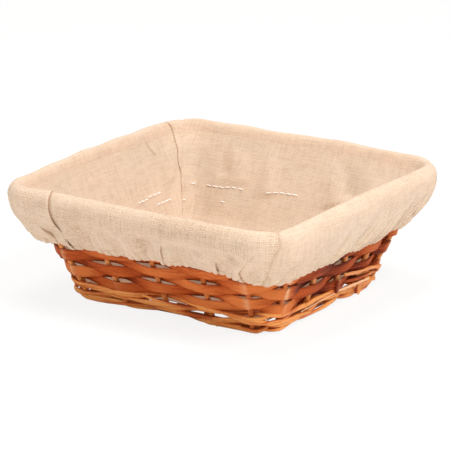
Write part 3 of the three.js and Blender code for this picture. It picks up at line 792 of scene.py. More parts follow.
# How far each corner's seam dips, from the front right corner round to the front left, and how
# far round the rim it sits from the middle of its corner.
SEAM_DIPS = [3.2, 0.8, 0.6, 0.6]
SEAM_SHIFTS = [4.5, 0, 0, 0]
SEAM_DIP_REACH = 7 * MM
SEAM_PULL_REACH = 24 * MM
SEAM_SHIFT_FADE = 0.08
RIM_SETTLE = 0.8 * MM
HOOP_BRIDGE = 3 * MM


def rim_table():
    """Metres round the rim at stake positions, from the middle of the front left corner."""
    position = np.linspace(-0.5, STAKE_COUNT - 0.5, 4001)
    return position, run_lengths(wall_point(station_at(position), RIM_HEIGHT))


RIM_POSITIONS, RIM_PLACES = rim_table()
RIM_LENGTH = RIM_PLACES[-1]


def rim_place(position):
    wrapped = np.mod(position + 0.5, STAKE_COUNT) - 0.5
    return np.interp(wrapped, RIM_POSITIONS, RIM_PLACES)


# Where each face starts round the rim, and where the last one ends.
FACE_EDGES = rim_place(np.arange(4) * STAKES_PER_FACE - 0.5 + 1e-9).tolist() + [RIM_LENGTH]
TABLE_PLACES = np.linspace(0, RIM_LENGTH, 1201)[:-1]
TABLE_BLUR = np.hanning(27)[1:-1]


def round_table(spots):
    """A smooth curve round the rim through the values given at (face, millimetres along)."""
    placed = sorted(((FACE_EDGES[face] + FACE_EDGES[face + 1]) / 2 + along * MM, value)
                    for face, along, value in spots)
    values = np.interp(TABLE_PLACES, *zip(*placed), period=RIM_LENGTH)
    values = np.pad(values, len(TABLE_BLUR) // 2, mode="wrap")
    return np.convolve(values, TABLE_BLUR / TABLE_BLUR.sum(), mode="valid")


def from_table(place, table):
    return np.interp(place, TABLE_PLACES, table, period=RIM_LENGTH)


RIM_LIFT_TABLE = round_table(RIM_LIFTS) * MM
HEM_LIFT_TABLE = round_table(HEM_LIFTS) * MM
# How far the lowest weaver rises or sinks.
FOOT_LIFT_TABLE = round_table([
    (0, -100, 1.0), (0, -50, 1.0), (0, -20, -0.4), (0, 20, -0.4), (0, 60, -0.6), (0, 112, -1.6),
    (1, -90, 1.0), (1, -40, 1.5), (1, 20, 1.2), (1, 60, 0.4), (2, 0, 0.2), (3, 0, 0.2)]) * MM
# Painted light and shade on the chips round the rim: how much paler or darker they are made,
# paler around the front right corner and darker along the right face, under the cuff's overhang.
CHIP_SHADE_TABLE = round_table([
    (0, -100, -0.3), (0, -40, -0.3), (0, 0, 0.0), (0, 40, 0.35), (0, 80, 0.35), (0, 112, 0.2),
    (1, -100, 0.5), (1, -85, 0.5), (1, -65, -0.4), (1, -30, -1.2), (1, 20, -0.8), (1, 100, -0.4),
    (2, -100, 0.0), (2, 100, 0.0), (3, 0, 0.0)])


def seam_gaps(place):
    """Each corner's number, and how far places round the rim are from its middle."""
    for number, middle in enumerate(FACE_EDGES[1:]):
        gap = np.abs(place - middle)
        yield number, np.minimum(gap, RIM_LENGTH - gap)


def rim_lift(place):
    """Metres that the rim's cloth stands above its level at places round it."""
    lift = from_table(place, RIM_LIFT_TABLE)
    for number, gap in seam_gaps(place):
        lift = lift - SEAM_DIPS[number] * MM * np.exp(-gap / SEAM_DIP_REACH)
    return lift


def seam_pull(place, distances):
    """Metres that the cloth round each corner is pulled along the rim."""
    pull = np.zeros(place.shape)
    for number, gap in seam_gaps(place):
        pull = pull + distances[number] * MM * np.exp(-(gap / SEAM_PULL_REACH) ** 2)
    return pull


def pulled(points, wall, pull):
    """Points moved along the rim by a pull, which keeps them on the corner's own curve."""
    curve = pull ** 2 / (2 * RIM_CORNER_RADIUS)
    return points + wall.around * pull[..., None] - wall.out * curve[..., None]


def hoop_lift(place):
    """Metres that the hoops stand above their level, just under the cloth's own line."""
    under = place - seam_pull(place, SEAM_SHIFTS)
    lowest = np.minimum(rim_lift(under - HOOP_BRIDGE), rim_lift(under + HOOP_BRIDGE))
    return np.minimum(lowest, rim_lift(under)) - RIM_SETTLE


def hem_lift(place):
    return from_table(place, HEM_LIFT_TABLE)


LASHING_STEPS = 32
LASHING_START = -0.06
LASHING_SQUARENESS = 0.8


def make_rim():
    position = weaver_positions(0, 8, 20)[:-1]
    wall = Wall(station_at(position))
    rise = wall.rise_to(RIM_HEIGHT) + hoop_lift(rim_place(position))
    for side, name in [(1, "outer"), (-1, "inner")]:
        centres = wall.at(rise, side * (HOOP_NEAR + HOOP_THICKNESS / 2))
        piece = swept(f"rim_rod_{name}", centres, wall.up,
                      oval(HOOP_WIDTH, HOOP_THICKNESS, 16, 0.7), loop=True,
                      tone=0.5 + 0.25 * stake_waves(position, 2, 9, 810 + side))
        dress(piece, ROD_WOOD, "basket", "rod_wood", f"rim_hoop_{name}")
    turn = np.arange(STAKE_COUNT * LASHING_STEPS) / LASHING_STEPS
    wall = Wall(station_at(turn + LASHING_START))
    angle = 2 * math.pi * (turn + 0.5)
    lift = signed_power(np.cos(angle), LASHING_SQUARENESS) * LASHING_LIFT
    reach = signed_power(np.sin(angle), LASHING_SQUARENESS) * LASHING_OUT
    middle = hoop_lift(rim_place(turn + LASHING_START))
    centres = wall.at(wall.rise_to(RIM_HEIGHT) + middle + lift, -reach)
    piece = swept("rim_binding", centres, wall.around, band(LASHING_WIDTH, LASHING_THICKNESS, 0),
                  loop=True, tone=0.55 + 0.3 * stake_waves(turn, 5, 40, 830))
    dress(piece, CHIP_WOOD, "basket", "chip_wood", "rim_lashing")


UP = np.array([0.0, 0.0, 1.0])
BASE_CORNER_RADIUS = 5 * MM
BASE_WOBBLE = 0.15 * MM
BASE_CHIP_END = 12 * MM
RING_CORNER_STEPS = 10
RING_SIDE_STEPS = 40
# A length that no base piece reaches, after which its waves repeat.
BASE_PERIOD = 0.3


def base_ring(half_x, half_y):
    """Points round the base's frame, anticlockwise from the front left."""
    flats = np.linspace(-1, 1, RING_SIDE_STEPS, endpoint=False)
    flats = np.concatenate([flats, np.ones(RING_CORNER_STEPS)])
    turns = np.linspace(0, 1, RING_CORNER_STEPS, endpoint=False)
    angle = np.concatenate([np.zeros(RING_SIDE_STEPS), turns]) * math.pi / 2
    points = []
    for face in range(4):
        along, out = (half_x, half_y) if face % 2 == 0 else (half_y, half_x)
        points.append(turn_to_face(
            np.full(len(flats), face),
            flats * (along - BASE_CORNER_RADIUS) + BASE_CORNER_RADIUS * np.sin(angle),
            out - BASE_CORNER_RADIUS + BASE_CORNER_RADIUS * np.cos(angle), FRAME_HEIGHT / 2))
    return np.concatenate(points)


def make_base():
    low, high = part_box("base_frame")
    centres = base_ring(high.x - FRAME_WIDTH / 2, high.y - FRAME_WIDTH / 2)
    share = np.arange(len(centres)) / len(centres)
    piece = swept("foot_ring", centres, UP, oval(FRAME_HEIGHT, FRAME_WIDTH, 16, 0.6), loop=True,
                  tone=0.5 + 0.3 * waves(share, 1, 2, 12, 840))
    dress(piece, BASE_WOOD, "basket", "base_wood", "base_frame")
    stick_height = FRAME_HEIGHT + CLEARANCE + BASE_STICK_RADIUS
    for index in range(BASE_STICKS):
        low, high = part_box(f"base_stick_{index + 1}")
        y = np.linspace(low.y, high.y, 40)
        x = (low.x + high.x) / 2 + BASE_WOBBLE * waves(y, BASE_PERIOD, 1, 4, 850 + index)
        centres = np.stack(np.broadcast_arrays(x, y, stick_height), axis=-1)
        thinning = 0.97 + 0.03 * waves(y, BASE_PERIOD, 2, 8, 860 + index)
        size = 2 * BASE_STICK_RADIUS * thinning
        piece = swept(f"bottom_stick_{index + 1}", centres, UP, oval(size, size),
                      tone=0.3 + 0.12 * index)
        dress(piece, BASE_WOOD, "basket", "base_wood", f"base_stick_{index + 1}")
    swing_height = BASE_STICK_RADIUS + CLEARANCE + BASE_CHIP_THICKNESS / 2
    for index in range(BASE_CHIPS):
        low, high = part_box(f"base_chip_{index + 1}")
        x = np.linspace(low.x, high.x, 120)
        place = x / BASE_STICK_PITCH + (BASE_STICKS - 1) / 2
        fade = smooth_step(high.x - np.abs(x), 0, BASE_CHIP_END)
        height = stick_height + np.cos(math.pi * (place + index)) * fade * swing_height
        centres = np.stack(np.broadcast_arrays(x, (low.y + high.y) / 2, height), axis=-1)
        width = BASE_CHIP_WIDTH * (0.98 + 0.015 * waves(x, BASE_PERIOD, 3, 12, 870 + index))
        piece = swept(f"bottom_chip_{index + 1}", centres, np.array([0.0, -1.0, 0.0]),
                      band(width, BASE_CHIP_THICKNESS, 0),
                      tone=0.5 + 0.3 * waves(x, BASE_PERIOD, 1, 6, 880 + index))
        dress(piece, CHIP_WOOD, "basket", "chip_wood", f"base_chip_{index + 1}")


# The liner. Each face's cloth runs from the middle of one corner to the middle of the next.
HALF_CORNER_COLUMNS = 34
FLAT_COLUMNS = 290


def panel_station(face):
    """Stations of a panel's columns, from mid corner to mid corner."""
    before = np.linspace(0.5, 1, HALF_CORNER_COLUMNS, endpoint=False)
    flat = np.linspace(-1, 1, FLAT_COLUMNS, endpoint=False)
    after = np.linspace(0, 0.5, HALF_CORNER_COLUMNS + 1)
    faces = [(face + 3) % 4] * len(before) + [face] * (len(flat) + len(after))
    along = np.concatenate([np.ones(len(before)), flat, np.ones(len(after))])
    turn = np.concatenate([before, np.zeros(len(flat)), after])
    return stations(faces, along, turn)


class Panel:
    """One face's cloth: its columns' frames and their places round the rim."""

    def __init__(self, face):
        self.face = face
        self.station = panel_station(face)
        self.wall = Wall(self.station)
        line = wall_point(self.station, RIM_HEIGHT)
        self.length = run_lengths(line)
        self.place = FACE_EDGES[face] + self.length
        self.from_seam = np.minimum(self.length, self.length[-1] - self.length)
        self.rim = self.wall.rise_to(RIM_HEIGHT)

    def face_along(self, height):
        """Metres along the face from its middle at a height, on round the corners."""
        radius, flat_x, flat_y = wall_sizes(height)
        flat = flat_x if self.face % 2 == 0 else flat_y
        face, along, turn = self.station
        before = face != self.face
        arc = np.where(before, turn - 1, turn) * math.pi / 2
        return np.where(before, -1, along) * flat + arc * radius

    def near_seam(self, width):
        """1 at the seams, fading out over a width in millimetres."""
        return np.exp(-(self.from_seam / (width * MM)) ** 2)


PANELS = [Panel(face) for face in range(4)]


def nearest_on_path(place, height, path):
    """For points on a face, their distance from a path of (along, height) millimetres, the
    signed distance to its left, how far along it they are, and the way to its left there."""
    best = np.full((5,) + place.shape, np.inf)
    points = np.array(path, float) * MM
    lengths = run_lengths(points)
    for begin, end, start in zip(points[:-1], points[1:], lengths[:-1]):
        run = end - begin
        size = np.linalg.norm(run)
        across = np.array([-run[1], run[0]]) / size
        share = ((place - begin[0]) * run[0] + (height - begin[1]) * run[1]) / size ** 2
        held = np.clip(share, 0, 1)
        gap_x = place - begin[0] - held * run[0]
        gap_z = height - begin[1] - held * run[1]
        found = np.stack(np.broadcast_arrays(
            np.hypot(gap_x, gap_z), gap_x * across[0] + gap_z * across[1],
            (start + held * size) / lengths[-1], *across))
        best = np.where(found[0] < best[0], found, best)
    return best


LAP_SHARPNESS = 1.4 * MM
LAP_EDGE = -0.25
LAP_SHADE_UNDER = 0.4
LAP_SHADE_OVER = 0.35
FOLD_FADE_IN = 0.12
FOLD_FADE_OUT = 0.25


def lap_fold(place, height, width, depth, lap, path):
    """A fold that laps over a path: how far the cloth stands out, how far it slips along the
    face and up it, and how much painted shade its crease gets. Its upper layer lies on the left
    of the path."""
    nearest, side, reach, across_x, across_z = nearest_on_path(place, height, path)
    fade = smooth_step(reach, 0, FOLD_FADE_IN) * smooth_step(1 - reach, 0, FOLD_FADE_OUT)
    edge = side / LAP_SHARPNESS
    hold = np.exp(-(nearest / (width * MM)) ** 2) * fade
    step = 0.35 + 0.65 * np.tanh(1.3 * edge) if lap else 1
    out = depth * MM * hold * step
    slip = -lap * MM * hold * edge * np.exp(0.5 * (1 - edge ** 2))
    # Painted shade along the fold's edge, reaching further over the layer beneath.
    softness = np.where(edge < LAP_EDGE, LAP_SHADE_UNDER, LAP_SHADE_OVER)
    painted_crease_shade = np.exp(-(edge - LAP_EDGE) ** 2 / softness) * hold * min(lap / 1.6, 0.9)
    return out, slip * across_x, slip * across_z, painted_crease_shade


def folds_on(panel, folds, along, height):
    """What each of a panel's own folds does, out of a list of folds on all faces."""
    for face, *fold in folds:
        if face == panel.face:
            yield lap_fold(along, height, *fold)


# Folds of the cuff that the eye picks out: face, width, depth, lap and path, in millimetres.
CUFF_FOLDS = [
    (0, 10, 2.0, 2.8, [
        (-62, 46), (-65.5, 57), (-69, 67), (-73, 78), (-75.6, 88), (-77, 96), (-78, 104),
        (-78.5, 112)]),
    (0, 4, 1.2, 1.1, [(-82.5, 48), (-82, 57), (-84, 64), (-90, 74)]),
    (0, 3.5, 1.2, 1.2, [(-90, 50), (-91, 58)]),
    (0, 5, 2.0, 2.0, [(68, 48), (68.2, 55), (70, 62), (73.5, 71)]),
    (0, 7, 1.7, 1.4, [(91.5, 46), (90.6, 56), (91.6, 62.5), (97, 71), (103, 78.5), (106, 84)]),
    (0, 5, 1.6, 1.4, [(20.5, 50), (21.5, 60), (23, 68), (25, 77)]),
    (0, 5, -2.8, 0, [(-37, 92), (-37, 84), (-36, 76)]),
    (0, 6, -2.8, 0, [(-50, 80), (-48, 70), (-45, 60)]),
    (0, 6, -2.6, 0, [(-15, 96), (-12, 88), (-10, 78)]),
    (0, 6, -2.8, 0, [(-31, 80), (-28, 72), (-23, 62)]),
    (0, 6, -2.4, 0, [(5, 84), (6, 76), (8, 66)]),
    (0, 7, -3.0, 0, [(62, 92), (57, 84), (54, 70)]),
    (0, 8, -2.8, 0, [(94, 90), (91, 82), (84, 74)]),
    (0, 6, -2.2, 0, [(36, 92), (33, 80), (32, 68)]),
    (1, 4, 1.6, 1.6, [(-94, 46), (-93, 50), (-91, 56)]),
    (1, 6, 1.0, 0.6, [(-84, 50), (-76, 62), (-62, 78)]),
    (1, 5, 1.1, 0.8, [(-52, 50), (-46, 60), (-36, 72)]),
    (1, 6, 1.1, 0.8, [(-16, 50), (-8, 62), (6, 80)]),
    (1, 5, 1.0, 0.8, [(22, 50), (30, 62), (40, 74)]),
    (1, 5, 1.2, 1.0, [(66, 50), (76, 64), (86, 84)]),
    (2, 5, 1.8, 1.8, [(-72, 54), (-78, 78), (-76, 98)]),
    (2, 6, 1.2, 1.0, [(0, 50), (2, 62), (-8, 84)]),
    (2, 4, 1.5, 1.6, [(62, 50), (64, 60), (58, 76)]),
    (3, 5, 1.5, 1.4, [(-62, 50), (-66, 66), (-60, 86)]),
    (3, 6, 1.2, 1.0, [(2, 50), (0, 60), (6, 80)]),
    (3, 4, 1.5, 1.5, [(72, 50), (76, 70), (70, 92)]),
]
# The cuff in section, from its seam inside the rim, over the roll, to the hem: (outward,
# upward) from the rim's middle, in millimetres.
CUFF_SECTION = [
    (-5.5, -4.4), (-5.7, -1.5), (-5.7, 1.6), (-5.3, 4.0), (-4.2, 5.6), (-2.3, 6.5), (0.4, 6.4),
    (3.8, 4.7), (6.9, 1.5), (8.9, -3.2), (10.1, -8.8), (10.7, -16), (10.7, -23), (10.2, -30),
    (9.3, -36), (8.0, -41), (6.8, -46)]
# Creases inside the rim, each a shallow groove with painted shade: face and path.
ROLL_CREASES = [(3, [(-105, 84), (-105.8, 94), (-103.5, 97.5), (-100, 100)])]
ROLL_CREASE_WIDTH = 1.1 * MM
ROLL_CREASE_DEPTH = 0.25 * MM
CUFF_ROWS = 92
# Rows round the hem's turn and up inside its casing.
TURN_ROWS = 7
CASING_ROWS = 5
# Rows below the roll's top, inside the rim, over which the cuff's outside begins.
ROLL_TOP_ROWS = 7
# Metres that the wall's outward direction dips in each metre.
OUT_DIP = 0.386
HEM_LEAST_OFFSET = HEM_INNER + 1.9 * MM
HOLLOW_ABOVE_HEM = 14 * MM
HOLLOW_REACH = 9 * MM
HOLLOW_DEPTH = 2 * MM
PUCKER_DEPTH = 1.5 * MM
SWAY_DEPTH = 0.3 * MM
FINE_GATHER_DEPTH = 0.08 * MM
STITCH_DEPTH = 0.6 * MM
SEAM_DEPTH = 0.6 * MM
# Metres above the hem at which the folds reach their full size.
FOLD_RISE = 8 * MM
# Spans below the rim's middle: over which a fold's hollow deepens, and over which the cloth
# stops rising and sinking with the rim.
HOLLOW_SPAN = (-5 * MM, -16 * MM)
RIM_LIFT_SPAN = (-26 * MM, -2 * MM)
# How much closer to the wall the hem's turn starts than the cuff's last row.
HEM_STEP = 0.2 * MM
# How much the gathers lean as they rise, and how many millimetres up they reach.
GATHER_LEANS = round_table([
    (0, -100, 0.15), (0, 0, 0.05), (0, 90, 0.3), (1, -80, 0.5), (1, 0, 0.6), (1, 100, 0.6),
    (2, -90, 0.1), (2, 0, -0.2), (3, -90, -0.1), (3, 0, 0.15)])
GATHER_REACHES = round_table([
    (0, -100, 12), (0, 0, 11), (0, 90, 16), (1, -80, 26), (1, 0, 34), (1, 100, 34),
    (2, -90, 16), (2, 0, 14), (3, -90, 14), (3, 0, 16)])
# How far each cuff's weave is stretched open, and how much more where its seams' stitches pull.
CUFF_OPENNESS = [0.9, 0.45, 0.6, 0.6]
SEAM_HOLES = 0.6
# Painted shade along the cuff's outside seams.
SEAM_SHADE = 0.32
# How deep the gathers are.
GATHER_DEPTHS = round_table([
    (0, -90, 2.2), (0, 90, 2.4), (1, -90, 3.2), (1, 0, 4.4), (1, 100, 4.4), (2, 0, 2.4),
    (3, 0, 2.4)])
# How far the seam's foot is pulled along at each corner, from the front right one.
SEAM_PULLS = [-6.5, 2, -3, 2]


def spline(points, count):
    """Evenly spaced points on a smooth curve through the given ones."""
    points = np.array(points, float)
    ends = [2 * points[0] - points[1], 2 * points[-1] - points[-2]]
    points = np.concatenate([ends[:1], points, ends[1:]])
    share = np.linspace(0, 1, 24, endpoint=False)[:, None]
    curve = []
    for first, second, third, fourth in zip(points, points[1:], points[2:], points[3:]):
        curve.append(second + 0.5 * share * (
            third - first + share * (
                2 * first - 5 * second + 4 * third - fourth
                + share * (3 * second - first - 3 * third + fourth))))
    curve = np.concatenate(curve + [points[-2:-1]])
    lengths = run_lengths(curve)
    even = np.linspace(0, lengths[-1], count)
    return np.stack([np.interp(even, lengths, curve[:, axis]) for axis in range(2)], axis=-1)


CUFF_LINE = spline(CUFF_SECTION, CUFF_ROWS) * MM
CUFF_TOP_ROW = int(np.argmax(CUFF_LINE[:, 1]))
# For each row of the cuff, 0 inside the rim and 1 on the outside, blending over the top.
CUFF_OUTSIDE = smooth_step(np.arange(CUFF_ROWS + TURN_ROWS + CASING_ROWS)[:, None],
                           CUFF_TOP_ROW - ROLL_TOP_ROWS, CUFF_TOP_ROW)


def cuff_points(panel):
    """The cuff's cloth from its seam inside the rim, over the roll, down to the hem and up
    inside the casing, and the painted shade in its creases and seams."""
    place = panel.place
    run = unit(np.gradient(CUFF_LINE, axis=0))
    facing_out = -run[:, 1:]
    facing_up = run[:, :1]
    offset = CUFF_LINE[:, :1]
    rise = CUFF_LINE[:, 1:]
    is_outer = CUFF_OUTSIDE[:CUFF_ROWS]
    share = np.where(is_outer > 0, np.clip(-rise / CUFF_DROP, 0, 1), 0)
    lean = from_table(place, GATHER_LEANS)
    low_place = place - lean * np.clip(rise + CUFF_DROP, 0, CUFF_DROP) * (is_outer > 0)

    lobes = rim_waves(low_place, 45, 80, 911, drift=0.8, climb=share)
    gathers = np.tanh(1.2 * np.sqrt(lobes ** 2 + 0.04))
    puckers = rim_waves(low_place, 15, 32, 912, drift=0.9, climb=share)
    fine = rim_waves(low_place, 120, 190, 913, drift=0.5, climb=share)
    density = np.clip(0.85 + 0.3 * rim_waves(place, 2, 7, 914), 0.5, 1.3)
    scallop = (0.8 * (gathers[-1] - 0.7) + 0.14 * fine[-1] + 0.2 * puckers[-1]) * MM
    drop = CUFF_DROP + scallop - hem_lift(place)
    rise = np.where((is_outer > 0) & (rise < 0), rise / CUFF_DROP * (drop - HEM_TURN), rise)
    above_hem = rise + drop
    reach = from_table(place, GATHER_REACHES) * MM
    gathered = smooth_step(above_hem, reach + 4 * MM, 3 * MM) * (share > 0.1)
    calm = 1 - 0.55 * smooth_step(above_hem, 8 * MM, 2 * MM)
    folds = PUCKER_DEPTH * puckers * share ** 0.8 * calm
    depth = from_table(place, GATHER_DEPTHS) * MM
    folds = folds + depth * density * (gathers - 0.6) * gathered
    hollows = np.clip(rim_waves(low_place, 16, 42, 917, drift=0.6, climb=share), 0, 2) ** 1.4
    drawn = np.exp(-((above_hem - HOLLOW_ABOVE_HEM) / HOLLOW_REACH) ** 2)
    folds = folds - HOLLOW_DEPTH * hollows * drawn * (share > 0)
    folds = folds + FINE_GATHER_DEPTH * fine * gathered
    folds = folds + SWAY_DEPTH * rim_waves(
        place, 8, 24, 916, drift=1.5, climb=share) * is_outer

    up_slope = panel.wall.up[:, 2]
    height = panel.wall.foot[:, 2] + (panel.rim + rise) * up_slope - offset * OUT_DIP
    along = panel.face_along(height)
    above = smooth_step(above_hem, 0, FOLD_RISE)
    clear = smooth_step(rise, *HOLLOW_SPAN)
    slip, slide, painted_crease_shade = np.zeros((3,) + height.shape)
    for out, aside, upward, bent in folds_on(panel, CUFF_FOLDS, along, height):
        painted_crease_shade = np.maximum(painted_crease_shade, bent * is_outer)
        folds = folds + np.where(out > 0, out * (0.4 + 0.6 * above), out * clear) * is_outer
        slip = slip + aside * is_outer * (0.4 + 0.6 * above)
        slide = slide + upward * is_outer * above
    for face, path in ROLL_CREASES:
        if face == panel.face:
            nearest = nearest_on_path(along, height, path)[0]
            groove = np.exp(-(nearest / ROLL_CREASE_WIDTH) ** 2) * (1 - is_outer)
            folds = folds - ROLL_CREASE_DEPTH * groove
            painted_crease_shade = np.maximum(painted_crease_shade, 0.8 * groove)
    # Painted shade along the seams.
    painted_crease_shade = np.maximum(painted_crease_shade, panel.near_seam(0.8) * SEAM_SHADE * is_outer)
    stitch_gap = (above_hem - STITCH_ABOVE_HEM) / (0.8 * MM)
    stitch = np.exp(-stitch_gap ** 2) * STITCH_DEPTH * (share > 0.4)
    seam = panel.near_seam(1.3) * SEAM_DEPTH * is_outer
    fullness = 0.1 * rim_waves(place, 5, 15, 915)
    bulge = np.where(share > 0, (offset - ROLL_OUT) * fullness, 0)
    proud = folds - stitch - seam + bulge
    lift = rim_lift(place) * smooth_step(rise, *RIM_LIFT_SPAN)
    offset = offset + proud * facing_out
    offset = np.where(share > 0.5, np.maximum(offset, HEM_LEAST_OFFSET), offset)
    rise = panel.rim + rise + proud * facing_up + lift + slide
    slip = slip * (panel.from_seam > 0)
    points = panel.wall.at(rise, offset) + panel.wall.around * slip[..., None]
    foot = seam_pull(place, SEAM_PULLS)
    head = seam_pull(place, SEAM_SHIFTS)
    fading = np.exp(-share / SEAM_SHIFT_FADE)
    pull = head * fading + foot * (1 - fading) * (0.18 + 0.82 * share ** 2)
    points = pulled(points, panel.wall, pull)

    last = offset[-1] - HEM_STEP
    bend = np.linspace(0, math.pi, TURN_ROWS + 1)[1:, None]
    turn = panel.wall.at(rise[-1] - HEM_TURN * np.sin(bend),
                         (last + HEM_INNER) / 2 + (last - HEM_INNER) / 2 * np.cos(bend))
    casing_rise = rise[-1] + np.linspace(0, HEM_CASING, CASING_ROWS + 1)[1:, None]
    casing = panel.wall.at(casing_rise, HEM_INNER)
    turned = pulled(np.concatenate([turn, casing]), panel.wall, foot)
    return (np.concatenate([points, turned]),
            np.pad(painted_crease_shade, ((0, TURN_ROWS + CASING_ROWS), (0, 0))))


# Creases of the liner inside, as the cuff's folds.
WALL_FOLDS = [
    (3, 7, 1.5, 1.4, [(-95, 40), (-100, 58), (-103, 70), (-103.2, 79), (-105, 88), (-106, 104)]),
    (3, 4, 1.4, 0.8, [(-71, 74), (-68.5, 79), (-66, 83.5), (-64.5, 89)]),
    (3, 9, 1.4, 0.0, [(-84, 50), (-76, 74), (-60, 97)]),
    (2, 8, 1.2, 0.0, [(96, 40), (108, 70), (118, 96)]),
    (2, 8, 1.6, 0.0, [(50, 50), (57, 73), (66, 98)]),
    (2, 7, -1.4, 0.0, [(66, 56), (76, 98)]),
    (2, 8, 1.8, 0.0, [(20, 46), (26, 72), (30, 98)]),
    (2, 9, 2.2, 0.0, [(-42, 46), (-36, 72), (-29, 98)]),
    (2, 7, -1.6, 0.0, [(-54, 56), (-46, 80), (-38, 100)]),
    (2, 10, 1.8, 0.0, [(-78, 56), (-70, 96)]),
    (1, 7, 1.0, 0.8, [(72, 30), (84, 60), (92, 90)]),
    (0, 7, 1.0, 0.8, [(-76, 30), (-86, 55), (-96, 92)]),
    (0, 8, 0.8, 0.4, [(80, 50), (88, 88)]),
]
# How far each corner's seam inside sits from the middle of its corner.
WALL_SEAM_SHIFTS = [0, 0, 3, 0]
WALL_ROWS = 64
# Metres below its top over which the side leans back to the cuff's seam, and the span from
# a corner's seam over which the corner is pushed in.
WALL_LEAN = 16 * MM
CORNER_SPAN = (34 * MM, 12 * MM)
WALL_SEAM_DEPTH = 0.2 * MM


def wall_points(panel):
    """The liner's side from the floor seam up to the cuff's seam, and the painted shade in its
    creases and seams.
    """
    place = panel.place
    share = np.linspace(0, 1, WALL_ROWS)[:, None]
    last_rod = panel.wall.rise_to(LAST_ROD_HEIGHT) + ROD_RADIUS
    foot = panel.wall.rise_to_offset(LINER_FLOOR_HEIGHT, -LINER_FOOT_OFFSET)
    top = panel.rim - CUFF_SEAM_BELOW_RIM + rim_lift(place)
    rise = foot + (top - foot) * share
    toe = smooth_step(rise, last_rod - 2 * MM, last_rod + LINER_TOE_HEIGHT + 4 * MM)
    leave = smooth_step(rise, top - WALL_LEAN, top)
    corner = smooth_step(panel.from_seam, *CORNER_SPAN) * smooth_step(share, 0, 0.12)
    offset = -LINER_FOOT_OFFSET + (LINER_FOOT_OFFSET - LINER_OFFSET) * toe
    offset = offset - LINER_CORNER_PUSH * corner * (1 - leave)
    offset = offset - (LINER_TOP_OFFSET - LINER_OFFSET) * leave
    height = panel.wall.foot[:, 2] + rise * panel.wall.up[:, 2]
    held = smooth_step(share, 0, 0.2) * smooth_step(share, 1, 0.7)
    soft = 0.5 + 0.5 * rim_waves(place, 10, 30, 921, drift=1, climb=share)
    ripple = 0.5 + 0.5 * rim_waves(place, 28, 60, 922, drift=2, climb=share)
    folds = (0.8 * np.clip(soft, 0, 2) + 0.18 * np.clip(ripple, 0, 2)) * MM
    slip, painted_crease_shade = np.zeros((2,) + height.shape)
    along = panel.face_along(height)
    for out, aside, _, bent in folds_on(panel, WALL_FOLDS, along, height):
        painted_crease_shade = np.maximum(painted_crease_shade, bent)
        folds = folds + out
        slip = slip + aside
    slip = slip * held * (panel.from_seam > 0)
    pull = seam_pull(place, WALL_SEAM_SHIFTS) * held + seam_pull(place, SEAM_SHIFTS) * leave
    # Painted shade along the corner seams, fading out towards the top.
    painted_crease_shade = np.maximum(painted_crease_shade, 0.5 * panel.near_seam(0.8) * smooth_step(share, 0.7, 0.4))
    seam = panel.near_seam(1.4) * WALL_SEAM_DEPTH
    points = panel.wall.at(rise, offset - folds * held + seam)
    return pulled(points + panel.wall.around * slip[..., None], panel.wall, pull), painted_crease_shade


def cloth_grain(points):
    """Metres along the rows from their middles, and down the columns, at each point."""
    across = run_lengths(np.moveaxis(points, 1, 0)).T
    across = across - across[:, across.shape[1] // 2][:, None]
    down = run_lengths(points).mean(axis=1)
    return np.stack([across, np.broadcast_to(down[:, None], across.shape)], axis=-1)


# Sets each face's weave apart from the next one's.
GRAIN_SHIFT = 0.37
FLOOR_RINGS = 36
FLOOR_SWELL = 0.22 * MM
FLOOR_LEAST_SWELL = 0.1 * MM
# How far from a seam its stitches open the weave, and over what width.
SEAM_HOLE_PLACE = 1.5 * MM
SEAM_HOLE_WIDTH = 1 * MM


def make_side(panel, name):
    """One face's cuff and lining. Gives back the lining's edge along the floor."""
    shift = panel.face * GRAIN_SHIFT
    points, painted_crease_shade = cuff_points(panel)
    seam_line = np.exp(-((panel.from_seam - SEAM_HOLE_PLACE) / SEAM_HOLE_WIDTH) ** 2)
    openness = CUFF_OPENNESS[panel.face] * CUFF_OUTSIDE * (1 + SEAM_HOLES * seam_line)
    cuff = surface(f"cuff_{name}", points, cloth_grain(points) + shift,
                   marks={"open": openness, "painted_crease_shade": painted_crease_shade})
    dress(cuff, CUFF_LINEN, "liner", "cuff_cloth", f"liner_cuff_{name}")
    drop = float(run_lengths(points).mean(axis=1)[-1])
    side, painted_crease_shade = wall_points(panel)
    wall = surface(f"lining_{name}", side, cloth_grain(side) + shift, marks={"painted_crease_shade": painted_crease_shade})
    dress(wall, LINER_LINEN, "liner", "liner_cloth", f"liner_wall_{name}")
    length = float(run_lengths(side).mean(axis=1)[-1])
    floor_width = float(run_lengths(side[0])[-1])
    stitches = make_stitches(panel, side, name)
    return side[0][:-1]


def make_liner():
    edge = np.concatenate([make_side(panel, name) for panel, name in zip(PANELS, FACE_NAMES)])
    share = np.linspace(0, 1, FLOOR_RINGS)[1:, None, None]
    centre = np.array([0, 0, LINER_FLOOR_HEIGHT])
    points = centre + (edge[None] - centre) * share
    x, y = points[..., 0], points[..., 1]
    swell = waves(x, 0.3, 1, 6, 931) + waves(y, 0.3, 1, 6, 932) + waves(x + y, 0.4, 2, 9, 933)
    swell = np.abs(swell * FLOOR_SWELL) + FLOOR_LEAST_SWELL
    points[..., 2] += swell * (1 - share[..., 0] ** 6)
    grain = np.concatenate([points[..., :2], points[:, :1, :2]], axis=1)
    floor = surface("lining_floor", points, grain, closed=True, capped=True)
    dress(floor, LINER_LINEN, "liner", "liner_cloth", "liner_floor")


